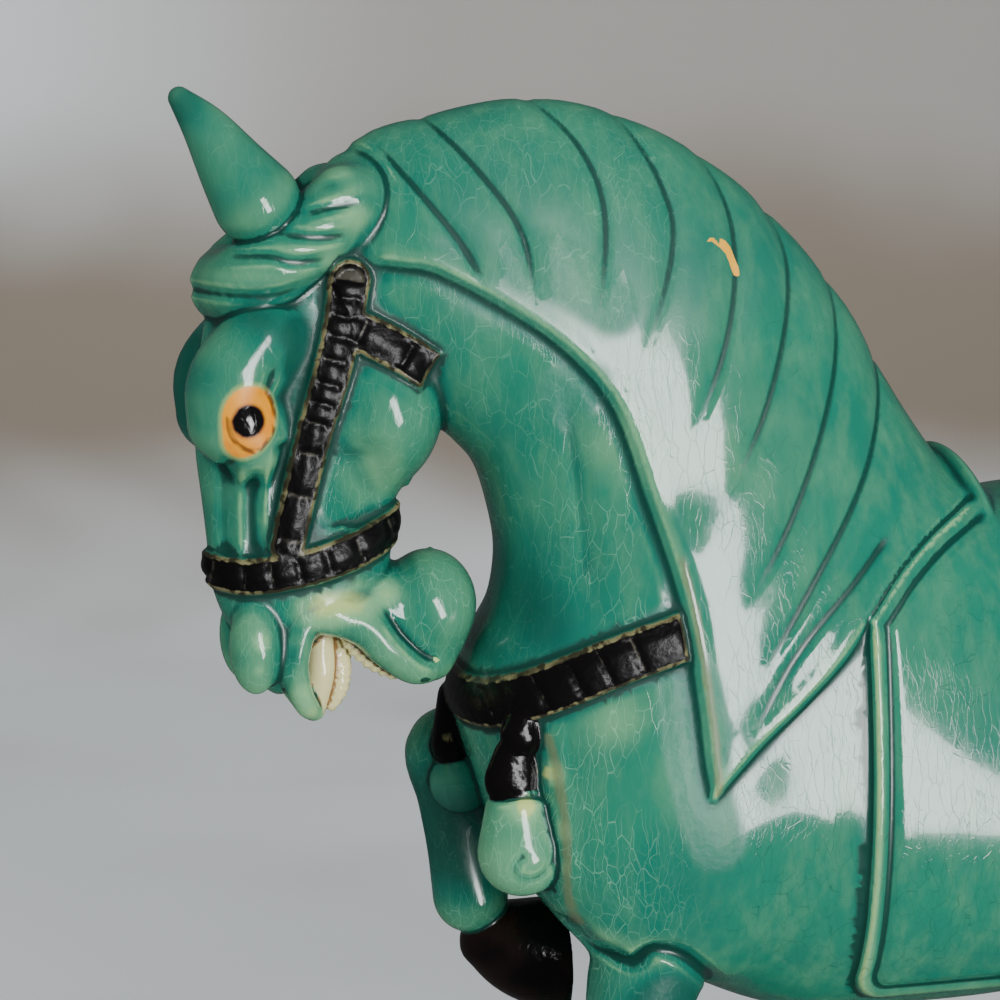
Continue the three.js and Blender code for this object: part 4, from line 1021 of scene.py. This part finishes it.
@dataclass
class Casting:
    """The horse's mesh: meshed, thinned, smoothly shaded and marked."""

    form: HorseForm = field(default_factory=HorseForm)
    eye: EyePaint = field(default_factory=EyePaint)
    pitch: float = 0.9
    quick_pitch: float = 1.2
    quick_end: float = 12
    triangles: int = 146_000
    longest_edge: float = 3.9
    floor_snap: float = 0.4
    normal_reach: float = 0.8
    tangent_guide: Point3 = (0.3, 0.2, 0.93)
    pool_reach: float = 1.6
    hollow_reach: float = 5.0
    line_reach: float = 6
    band_steepness: float = 10
    band_spill: float = 0.6
    spills: tuple[tuple[Mark, str, float], ...] = (
        (Mark.TAB, "tabs", 0.5), (Mark.DROP, "drops", 0.3), (Mark.HOOF, "hooves", 0.4),
        (Mark.TEETH, "teeth", 0.3),
    )
    gold_half: float = 1.2
    gold_mark: Path2 = ((-53, 355), (-48, 354), (-45, 347))
    seam_half: float = 1.6
    seams: tuple[Path2, ...] = (
        ((-98, 227), (-95.6, 216), (-94.2, 200), (-92.8, 184), (-89, 175)),
        ((-64, 274), (-61, 260), (-58.4, 240), (-57, 225), (-56.4, 213)),
    )
    # Soft tone patches. Positive ones pale the glaze where it runs thin, mark the olive wear on the near tab
    # and paint a few highlights on lit bulges. Negative ones deepen the glaze, mostly as painted shade on the
    # far side, along the neck, under the chest fold and over spots that would catch glare.
    tones_and_painted_light: tuple[Patch, ...] = patches(
        (-155, 261, 7, 1.2), (-145, 261, 6, 1.0), (-136, 263, 4, 0.9), (-171, 252, 3.4, 1.0),
        (-171.5, 245, 2.6, 0.9), (-156, 231, 5, 1.1), (-159, 238, 3.4, 0.9), (-175.4, 248, 3.6, -0.6),
        (-162.6, 249, 4, -0.7), (-145, 251, 4.5, -0.5), (-161, 324, 4, -1.9), (-160, 332, 4.4, -1.9),
        (-162.6, 316, 3.6, -1.6), (-186, 322, 7, -0.7), (-126, 300, 7, -0.6), (-110, 245, 6, -0.6),
        (-118, 356, 8, -0.5), (-155.5, 281, 3.4, -1.3), (-176, 299, 5, -0.5), (-181, 284, 6, -0.5),
        (-172, 340, 7, -0.5), (-155, 342, 6, -0.6), (-168, 300, 3, 0.7), (-168.6, 284, 3, 0.6),
        (-120, 262, 9, 0.5), (-84, 236, 14, 0.6), (-79, 302, 15, 0.5), (-138, 298, 13, 0.6),
        (-146, 362, 5, 0.8), (-152, 351, 5, 0.7), (-146, 274, 5, 0.8), (-80, 172, 7, 0.5),
        (-104, 208.5, 3.2, 1.2), (-95.5, 202, 3.6, 0.8), (-95, 192, 3, 0.7), (-40, 300, 30, 0.35),
        (-90, 350, 22, 0.3), (-104, 270, 17, -0.8), (-96, 252, 13, -0.8), (-66, 190, 20, -0.7),
        (-170, 334, 9, -0.7), (-189, 391, 9, -1.0), (-175, 372, 14, -0.5), (-112, 190, 24, -1.5, True),
        (-188, 318, 18, -1.6, True), (-66, 149, 13, -2.0), (-165, 244, 6, -0.5), (-97.6, 217, 3.2, 1.4),
        (-115, 217, 4, 1.2, True),
    )
    dulls: tuple[Patch, ...] = patches(
        (-63.3, 242.4, 8, 1.3), (-62.6, 231.8, 8, 1.3), (-61.7, 221, 8, 1.3), (-59.6, 210, 8, 1.3),
        (-56.2, 199, 8, 1.2), (-103.2, 350.8, 8, 1.3), (-95.5, 350, 8, 1.3), (-86, 344, 8, 1.3),
        (-78.9, 337.5, 7, 1.2), (-94.5, 318.2, 6, 1.2), (-90.7, 311.5, 6, 1.2), (-85.6, 319.3, 6, 1.2),
        (-152.1, 265.6, 4, 1.3), (-155.5, 281, 5, 1.3), (-160.2, 336.6, 5, 1.3), (-160.2, 328.4, 5, 1.3),
        (-161.3, 321, 5, 1.3), (-163.5, 311, 4.5, 1.2),
    )

    def build(self) -> bpy.types.Object:
        """Make the horse.

        Returns:
            The finished object, in metres.
        """
        mesher = FieldMesher(self.form, self.pitch)
        values = mesher.sample()
        LOG.info("field sampled")
        vertices, quads = mesher.net(values)
        LOG.info("net of %d quads", len(quads))
        mesh = bpy.data.meshes.new("horse_casting")
        mesh.from_pydata((vertices * MM).tolist(), [], quads.tolist())
        horse = bpy.data.objects.new("horse_casting", mesh)
        bpy.context.collection.objects.link(horse)
        self.thin(horse)
        self.shade(horse, mesher)
        return horse

    def thin(self, horse: bpy.types.Object) -> None:
        """Collapse the mesh to its triangle budget."""
        thinning = horse.modifiers.new("thinning", "DECIMATE")
        thinning.ratio = self.triangles / (2 * len(horse.data.polygons))
        thinning.use_collapse_triangulate = True
        with bpy.context.temp_override(object=horse, active_object=horse):
            bpy.ops.object.modifier_apply(modifier=thinning.name)
        LOG.info("thinned to %d triangles", len(horse.data.polygons))
        net = bmesh.new()
        net.from_mesh(horse.data)
        long_edges = [edge for edge in net.edges if edge.calc_length() > self.longest_edge * MM]
        bmesh.ops.subdivide_edges(net, edges=long_edges, cuts=1)
        bmesh.ops.triangulate(net, faces=net.faces)
        net.to_mesh(horse.data)
        net.free()
        LOG.info("%d triangles once long edges are split", len(horse.data.polygons))

    def shade(self, horse: bpy.types.Object, mesher: FieldMesher) -> None:
        """Give the mesh the field's own normals and the marks of each colour."""
        mesh = horse.data
        points = np.empty(len(mesh.vertices) * 3)
        mesh.vertices.foreach_get("co", points)
        points = mesher.settle(points.reshape(-1, 3) / MM)
        points[points[:, 2] < self.floor_snap, 2] = 0
        mesh.vertices.foreach_set("co", (points * MM).ravel())
        slope = mesher.gradient(points, self.normal_reach)
        normals = slope / np.maximum(np.linalg.norm(slope, axis=1), 1e-6)[:, None]
        mesh.shade_smooth()
        mesh.normals_split_custom_set_from_vertices(normals.tolist())
        for mark, values in self.marks(points, normals, mesher).items():
            layer = mesh.attributes.new(mark.value, "FLOAT", "POINT")
            layer.data.foreach_set("value", values.astype(np.float32))

    def marks(self, points: Array, normals: Array, mesher: FieldMesher) -> dict[Mark, Array]:
        """Work out the marks of each colour.

        Args:
            points: Vertices in millimetres.
            normals: Their outward directions.
            mesher: The field that they lie on.

        Returns:
            One value for each vertex and mark.
        """
        x, y, z = points.T
        side = mesher.side.at(x, z)
        found = self.form.distances(side, x, y, z)
        whole = found["whole"]
        tangent = np.cross(normals, self.tangent_guide)
        tangent /= np.linalg.norm(tangent, axis=1)[:, None]
        across = np.cross(normals, tangent)

        def bend(reach: float) -> Array:
            """Return how hollow the surface is over a reach, negative where it bulges."""
            around = sum(mesher.measure(points + d * reach) for d in (tangent, -tangent, across, -across))
            return (4 * whole - around) / reach

        def inside(name: str, spill: float) -> Array:
            """Return how far inside a coloured part the surface lies, with a little spill round it."""
            return spill - (found[name] - whole)

        harness = np.minimum(side["band"], inside("body", self.band_spill) * self.band_steepness)
        chest = np.minimum(side["chest_band"], inside("torso", self.band_spill) * self.band_steepness)
        ring, pupil, lid = self.eye.rings(x, y, z)
        gold = self.gold_half - nearest_of((self.gold_mark,), x, z, self.line_reach)
        return {
            Mark.STRAP: np.maximum(harness, chest),
            Mark.RUNG: np.where(chest > harness, side["chest_rung"], side["rung"]),
            **{mark: inside(name, spill) for mark, name, spill in self.spills},
            Mark.EYE_RING: ring, Mark.PUPIL: pupil, Mark.LID: lid,
            Mark.POOL: bend(self.pool_reach), Mark.HOLLOW: bend(self.hollow_reach),
            Mark.GOLD: np.where(y < 0, gold, -FAR),
            Mark.SEAM: self.seam_half - nearest_of(self.seams, x, z, self.line_reach),
            Mark.TONE: sum(patch.at(x, y, z) for patch in self.tones_and_painted_light),
            Mark.DULL: sum(patch.at(x, y, z) for patch in self.dulls),
        }


def arithmetic(operation: str) -> Callable[[Sock, Any], Sock]:
    """Return a method that adds a Math node of one operation over a socket and another value."""
    def method(self: Sock, other: Any) -> Sock:
        """Return the result of the operation."""
        return self.math(operation, other)

    return method


class Sock:
    """A shader socket that does arithmetic."""

    def __init__(self, shader: Shader, socket: bpy.types.NodeSocket) -> None:
        """Wrap a socket of a shader's node."""
        self.shader = shader
        self.socket = socket

    def math(self, operation: str, *values: Any) -> Sock:
        """Add a Math node over this socket and more values."""
        return self.shader.node("ShaderNodeMath", {"operation": operation}, dict(enumerate((self, *values))))

    __add__ = __radd__ = arithmetic("ADD")
    __sub__ = arithmetic("SUBTRACT")
    __mul__ = __rmul__ = arithmetic("MULTIPLY")
    most = arithmetic("MAXIMUM")

    def __rsub__(self, other: Any) -> Sock:
        """Return other - self."""
        return self.math("MULTIPLY_ADD", -1, other)

    def ramp(self, start: float, end: float) -> Sock:
        """Return a smooth rise from 0 at start to 1 at end."""
        return self.shader.node("ShaderNodeMapRange", {"interpolation_type": "SMOOTHSTEP"},
                                {"Value": self, "From Min": start, "From Max": end})


class Shader:
    """A material built from nodes."""

    def __init__(self, name: str) -> None:
        """Start an empty material."""
        self.material = bpy.data.materials.new(name)
        self.material.use_nodes = True
        self.tree = self.material.node_tree
        self.tree.nodes.clear()

    def node(self, kind: str, settings: Mapping[str, Any] | None = None,
             sockets: Mapping[Any, Any] | None = None, output: Any = 0) -> Sock:
        """Add a node.

        Args:
            kind: Blender's type name for the node.
            settings: Its properties, set first.
            sockets: Values or links for its inputs, by name or number.
            output: Which output to return, by name or number.

        Returns:
            The chosen output.
        """
        made = self.tree.nodes.new(kind)
        for name, value in (settings or {}).items():
            setattr(made, name, value)
        for key, value in (sockets or {}).items():
            if isinstance(value, Sock):
                self.tree.links.new(value.socket, made.inputs[key])
            else:
                made.inputs[key].default_value = value
        return Sock(self, made.outputs[output]) if len(made.outputs) else None

    def mark(self, mark: Mark) -> Sock:
        """Read one of the mesh's marks."""
        return self.node("ShaderNodeAttribute", {"attribute_name": mark.value}, output="Fac")

    def mix(self, factor: Any, first: Any, second: Any) -> Sock:
        """Mix two colours."""
        return self.node("ShaderNodeMix", {"data_type": "RGBA"}, {0: factor, 6: first, 7: second}, 2)

    def lay(self, colour: Any, *coats: tuple[Any, Any]) -> Sock:
        """Lay coats (share, colour) over a colour, one after the other."""
        for share, coat in coats:
            colour = self.mix(share, colour, coat)
        return colour

    def axis(self, place: Sock, name: str) -> Sock:
        """Return one coordinate, X, Y or Z, of a place."""
        return self.node("ShaderNodeSeparateXYZ", {}, {"Vector": place}, name)

    def bump(self, height: Sock, strength: float, distance: float = 0.0004) -> Sock:
        """Return the normal of a surface with fine relief."""
        return self.node("ShaderNodeBump", {}, {"Strength": strength, "Distance": distance, "Height": height})

    def finish(self, surface: Sock) -> None:
        """Make a shader the material's surface."""
        self.node("ShaderNodeOutputMaterial", {}, {"Surface": surface})

    def noise(self, place: Sock, scale: float, detail: float = 2.0, rough: float = 0.5) -> Sock:
        """Return noise between 0 and 1 with cells of 1 / scale."""
        return self.node("ShaderNodeTexNoise", {}, {
            "Vector": place, "Scale": scale, "Detail": detail, "Roughness": rough})


def srgb(red: int, green: int, blue: int) -> tuple[float, float, float, float]:
    """Turn a screen colour into a linear one with full alpha."""
    def linear(value: int) -> float:
        """Return one channel's linear value."""
        share = value / 255
        return share / 12.92 if share <= 0.04045 else ((share + 0.055) / 1.055) ** 2.4

    return linear(red), linear(green), linear(blue), 1.0


@dataclass(frozen=True)
class CrackleGlaze:
    """Green crackle glaze with black harness, painted eyes, bare teeth and black hooves."""

    mid: tuple[float, ...] = srgb(42, 120, 94)
    teal: tuple[float, ...] = srgb(0, 96, 82)
    deep: tuple[float, ...] = srgb(0, 52, 44)
    pale: tuple[float, ...] = srgb(124, 176, 126)
    cream: tuple[float, ...] = srgb(200, 210, 116)
    vein: tuple[float, ...] = srgb(140, 204, 168)
    black: tuple[float, ...] = srgb(10, 8, 9)
    rim: tuple[float, ...] = srgb(112, 108, 74)
    rim_dark: tuple[float, ...] = srgb(44, 42, 28)
    line: tuple[float, ...] = srgb(96, 92, 80)
    orange: tuple[float, ...] = srgb(228, 148, 0)
    amber: tuple[float, ...] = srgb(212, 118, 0)
    brown: tuple[float, ...] = srgb(84, 38, 4)
    hoof_brown: tuple[float, ...] = srgb(28, 19, 15)
    tooth: tuple[float, ...] = srgb(232, 220, 160)
    tooth_dark: tuple[float, ...] = srgb(150, 112, 60)
    gold: tuple[float, ...] = srgb(232, 170, 50)
    roughness: float = 0.1
    wear_scale: float = 420
    grain_scale: float = 260
    blotch_scale: float = 60

    def material(self) -> bpy.types.Material:
        """Build the finish.

        Returns:
            A material that reads the mesh's marks.
        """
        s = Shader("green_crackle_glaze")
        place = s.node("ShaderNodeTexCoord", output="Object")
        along, up = s.axis(place, "X"), s.axis(place, "Z")
        strap, pool, tone_and_painted_light = s.mark(Mark.STRAP), s.mark(Mark.POOL), s.mark(Mark.TONE)
        ring, pupil = s.mark(Mark.EYE_RING), s.mark(Mark.PUPIL)
        wobble = (s.noise(place, self.wear_scale, 2) - 0.5) * 1.3
        edge = strap + wobble
        tab = (s.mark(Mark.TAB) + wobble * 0.4).ramp(0.0, 0.25)
        hoof = (s.mark(Mark.HOOF) + wobble * 0.3).ramp(0.0, 0.3)
        black, rim = edge.ramp(0.85, 1.2).most(tab), edge.ramp(-0.2, 0.2)

        vein = self.veins(s, place)
        back = (along + (s.noise(place, 14, 1) - 0.5) * 0.06).ramp(-0.07, -0.05)
        crazed = along.ramp(-0.16, -0.12) * 0.08 + (1 - up.ramp(0.22, 0.32)) * 0.18 + 0.1
        crazed = crazed * (1 - (0 - tone_and_painted_light).ramp(0.3, 1.0) * 0.8)
        seam = (s.mark(Mark.SEAM) + (s.noise(place, 200, 3) - 0.5) * 1.6).ramp(0.0, 1.2)
        # Pooled glaze and painted shade: a deep band just outside every strap, weaker where the tone is pale.
        strap_pool_and_shade = edge.ramp(-2.6, -0.2) * 0.6 * (1 - tone_and_painted_light.ramp(0.3, 0.9) * 0.8)
        dark = s.noise(place, self.wear_scale, 3).ramp(0.4, 0.6).most(s.noise(place, 70, 2).ramp(0.45, 0.6))
        grain = s.noise(place, self.grain_scale, 2)
        rung = (1 - s.mark(Mark.RUNG).ramp(0.1, 0.45)) * strap.ramp(1.2, 2.0) * grain.ramp(0.35, 0.6)
        worn = (tone_and_painted_light + wobble * 0.2).ramp(0.55, 0.85) * tab * 0.8
        colour = s.lay(
            self.glaze_colour(s, place, pool, tone_and_painted_light),
            (vein * crazed * (1 - pool.ramp(0.1, 0.6)), s.mix(back, self.vein, self.deep)),
            (seam * 0.55, self.rim),
            (strap_pool_and_shade, self.deep),
            (rim, s.mix(dark, self.rim, self.rim_dark)),
            (black, s.mix(worn, s.mix(rung * 0.45, self.black, self.line), self.rim)),
            (hoof, s.mix(s.noise(place, self.blotch_scale, 2).ramp(0.4, 0.65), self.black, self.hoof_brown)),
            (s.mark(Mark.TEETH).ramp(0.0, 0.4), s.mix(pool.ramp(0.0, 0.8), self.tooth, self.tooth_dark)),
            (ring.ramp(-1.4, -0.2) * 0.35, self.cream),
            (ring.ramp(-0.4, 0.5), s.mix(grain.ramp(0.4, 0.7) * 0.5, self.orange, self.amber)),
            (s.mark(Mark.LID).ramp(-0.2, 0.5) * 0.85, self.brown),
            (pupil.ramp(-1.2, -0.2) * 0.45, self.brown),
            (pupil.ramp(-0.5, 0.0), self.brown),
            (pupil.ramp(0.0, 0.2), self.black),
            ((s.mark(Mark.GOLD) + wobble * 0.3).ramp(0.0, 0.15), self.gold),
        )

        paint = ring.ramp(-0.3, 0.1) * (1 - pupil.ramp(0.0, 0.2))
        worn_crest = (up + (s.noise(place, 45, 2) - 0.5) * 0.024).ramp(0.318, 0.344)
        worn_crest = worn_crest * along.ramp(-0.135, -0.115)
        dim = (0 - tone_and_painted_light).ramp(0.6, 1.4).most(s.mark(Mark.DULL).ramp(0.3, 1.0))
        rough = paint * 0.3 + edge.ramp(-4.2, -0.8) * 0.26 + worn_crest * 0.3 + pool.ramp(0.06, 0.4) * 0.25
        glaze = s.node("ShaderNodeBsdfPrincipled", {}, {
            "Base Color": colour, "Roughness": rough + dim * 0.3 + self.roughness, "IOR": 1.5,
            "Normal": s.bump(vein * 0.3 + s.noise(place, 160, 2) * 0.5, 0.12),
            "Coat Weight": (1 - rim.most(paint)) * 0.3, "Coat Roughness": 0.03,
        })
        satin = s.node("ShaderNodeBsdfPrincipled", {}, {
            "Base Color": colour, "Roughness": 0.33 - hoof.most(tab) * 0.17 + dim * 0.1, "IOR": 1.36,
            "Normal": s.bump(s.noise(place, 500, 3), 0.5),
        })
        dull = black.most(hoof).most(dim * 0.85)
        s.finish(s.node("ShaderNodeMixShader", {}, {0: dull, 1: glaze, 2: satin}))
        return s.material

    def glaze_colour(self, s: Shader, place: Sock, pool: Sock, tone_and_painted_light: Sock) -> Sock:
        """Mix the glaze: deep where it pools, pale where it runs thin, brushed and clouded between, with
        painted shade and painted highlights from the tone patches.
        """
        brushed = s.node("ShaderNodeMapping", {}, {
            "Vector": place, "Rotation": (0.0, 0.5, 0.0), "Scale": (1.0, 1.0, 0.35)})
        hollow = s.mark(Mark.HOLLOW)
        mottled = (s.noise(place, self.blotch_scale, 3) - 0.5) * 0.5
        # The tone patches add painted shade (deepened below) and a few painted highlights to the glaze's own
        # thin and thick patches. They are mottled by noise and paler on the drops.
        tone_and_painted_light = tone_and_painted_light + mottled + s.mark(Mark.DROP).ramp(0.0, 0.3) * 0.4
        raised, crest, deepened = 0 - hollow, 0 - pool, 0 - tone_and_painted_light
        return s.lay(
            self.mid,
            (s.noise(place, 22, 3).ramp(0.2, 0.8) * 0.75, self.teal),
            (s.noise(brushed, 160, 4, 0.6).ramp(0.35, 0.9) * 0.24, self.pale),
            (raised.ramp(0.25, 1.3) * 0.4, self.pale),
            (tone_and_painted_light.ramp(0.15, 0.9) * 0.75, self.pale),
            (hollow.ramp(0.05, 0.6) * 0.8, self.teal),
            (hollow.ramp(0.4, 1.2) * 0.7, self.deep),
            (crest.ramp(0.35, 0.9) * 0.8, self.pale),
            (crest.ramp(0.8, 1.6) * 0.6, self.cream),
            (tone_and_painted_light.ramp(0.85, 1.4) * 0.7, self.cream),
            (deepened.ramp(0.1, 0.9) * 0.85, self.teal),
            (deepened.ramp(0.6, 1.2) * 0.5, self.deep),
            (pool.ramp(0.08, 0.5) * 0.9, self.deep),
        )

    def veins(self, s: Shader, place: Sock) -> Sock:
        """Return the crackle's lines, 1 on a line."""
        bent = s.node("ShaderNodeVectorMath", {"operation": "MULTIPLY_ADD"}, {
            0: s.node("ShaderNodeTexNoise", {}, {"Vector": place, "Scale": 90, "Detail": 2}, "Color"),
            1: (0.005, 0.005, 0.005), 2: place})
        tall = s.node("ShaderNodeMapping", {}, {
            "Vector": bent, "Rotation": (0.0, 0.35, 0.0), "Scale": (1.0, 1.0, 0.26)})

        def net(scale: float, width: float) -> Sock:
            """Return a net of lines, 1 on a line."""
            edge = s.node("ShaderNodeTexVoronoi", {"feature": "DISTANCE_TO_EDGE"},
                          {"Vector": tall, "Scale": scale}, "Distance")
            return 1 - edge.ramp(0.0, width)

        patchy = s.noise(place, 40, 2)
        wide, fine = net(330, 0.024) * patchy.ramp(0.3, 0.5), net(700, 0.03) * 0.6 * patchy.ramp(0.4, 0.6)
        return wide.most(fine) * s.noise(place, self.grain_scale, 2).ramp(0.2, 0.42)


@dataclass
class Studio:
    """Camera, lights, floor and backdrop."""

    aim: Point3 = (-103, 0, 285)
    azimuth: float = -14
    elevation: float = 8.5
    distance: float = 700
    frame_width: float = 270
    sensor: float = 36
    wall: tuple[float, ...] = srgb(246, 252, 254)
    painted_wall_shadow: tuple[float, ...] = srgb(156, 144, 130)
    shade_rise: Point2 = (-0.02, 0.14)
    shade_fall: Point2 = (0.24, 0.42)
    shade_aside: Point2 = (-0.25, 0.25)
    sky: tuple[float, ...] = (0.75, 0.76, 0.78, 1)
    sky_light: float = 0.42
    sky_mirrored: float = 0.1

    def towards(self, azimuth: float, elevation: float, distance: float) -> Vector:
        """Return the place at a bearing from the aim, in metres."""
        a, e = math.radians(azimuth), math.radians(elevation)
        bearing = Vector((math.sin(a) * math.cos(e), -math.cos(a) * math.cos(e), math.sin(e)))
        return (Vector(self.aim) + bearing * distance) * MM

    def point_at_aim(self, piece: bpy.types.Object) -> None:
        """Turn a camera or light towards the aim."""
        piece.rotation_euler = (Vector(self.aim) * MM - piece.location).to_track_quat("-Z", "Y").to_euler()

    def camera(self) -> None:
        """Set the camera where the photograph was taken from."""
        data = bpy.data.cameras.new("photo_camera")
        data.sensor_width = self.sensor
        data.lens = self.sensor * self.distance / self.frame_width
        data.clip_start = 0.02
        camera = bpy.data.objects.new("photo_camera", data)
        camera.location = self.towards(self.azimuth, self.elevation, self.distance)
        self.point_at_aim(camera)
        bpy.context.collection.objects.link(camera)
        bpy.context.scene.camera = camera

    def area(self, name: str, azimuth: float, elevation: float, distance: float, size: Point2,
             power: float, roll: float = 0, diffuse: bool = True, glossy: bool = True) -> None:
        """Hang a rectangular light at a bearing from the aim.

        Args:
            name: Its name.
            azimuth: Bearing in degrees, 0 towards the horse's left side and rising towards its tail.
            elevation: Height in degrees.
            distance: Millimetres from the aim.
            size: Width and height in millimetres.
            power: Watts.
            roll: Degrees by which it leans in its own plane.
            diffuse: Whether it lights surfaces.
            glossy: Whether it mirrors in them.
        """
        data = bpy.data.lights.new(name, "AREA")
        data.shape = "RECTANGLE"
        data.size, data.size_y = size[0] * MM, size[1] * MM
        data.energy = power
        light = bpy.data.objects.new(name, data)
        light.location = self.towards(azimuth, elevation, distance)
        light.visible_diffuse, light.visible_glossy = diffuse, glossy
        self.point_at_aim(light)
        light.rotation_euler.rotate_axis("Z", math.radians(roll))
        bpy.context.collection.objects.link(light)

    def lights(self) -> None:
        """Hang the window, the fill and the sky."""
        self.area("window", 20, 10, 1500, (700, 1000), 31, glossy=False)
        self.area("window_glare", 14.2, -4.2, 1490, (340, 1110), 23, roll=32, diffuse=False)
        self.area("fill", -60, 40, 1600, (1200, 1200), 13, glossy=False)
        world = bpy.data.worlds.new("room")
        bpy.context.scene.world = world
        world.use_nodes = True
        tree = world.node_tree
        background = tree.nodes["Background"]
        background.inputs["Color"].default_value = self.sky
        mirrored = tree.nodes.new("ShaderNodeLightPath").outputs["Is Glossy Ray"]
        level = tree.nodes.new("ShaderNodeMapRange")
        level.inputs["To Min"].default_value = self.sky_light
        level.inputs["To Max"].default_value = self.sky_mirrored
        tree.links.new(mirrored, level.inputs["Value"])
        tree.links.new(level.outputs["Result"], background.inputs["Strength"])

    def room(self) -> None:
        """Lay a pale floor that curves up into a backdrop, with a painted shadow across the backdrop."""
        half, depth, rise, steps = 2.2, 1.1, 0.5, 16
        profile = [(-0.3, 0.0)] + [
            (depth + rise * math.sin(t), rise * (1 - math.cos(t)))
            for t in (math.pi / 2 * i / steps for i in range(steps + 1))
        ] + [(depth + rise, 2.6)]
        vertices = [(side, y, z) for y, z in profile for side in (-half, half)]
        faces = [(2 * i, 2 * i + 1, 2 * i + 3, 2 * i + 2) for i in range(len(profile) - 1)]
        mesh = bpy.data.meshes.new("floor")
        mesh.from_pydata(vertices, [], faces)
        mesh.shade_smooth()
        floor = bpy.data.objects.new("floor", mesh)
        bpy.context.collection.objects.link(floor)
        s = Shader("pale_wall")
        place = s.node("ShaderNodeTexCoord", output="Object")
        # Painted shadow: a brown band that rises from the floor and fades higher up, except towards +X, where
        # it stays on.
        up = s.axis(place, "Z") + (s.noise(place, 3, 2) - 0.5) * 0.2
        aside = s.axis(place, "X").ramp(*self.shade_aside) * 0.7
        shade = up.ramp(*self.shade_rise) * (1 - up.ramp(*self.shade_fall) * (1 - aside))
        colour = s.mix(shade, self.wall, self.painted_wall_shadow)
        s.finish(s.node("ShaderNodeBsdfPrincipled", {}, {"Base Color": colour, "Roughness": 0.8}))
        mesh.materials.append(s.material)
        floor.visible_glossy = False


def main() -> None:
    """Build the horse and its studio."""
    logging.basicConfig(level=logging.INFO, format="%(message)s")
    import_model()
    studio = Studio()
    studio.camera()
    studio.lights()
    studio.room()
    horse = Casting().build()
    horse.data.materials.append(CrackleGlaze().material())
    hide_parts("horse")
    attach(horse, "root")
    LOG.info("horse_casting: %d faces", len(horse.data.polygons))


if __name__ == "__main__":
    main()
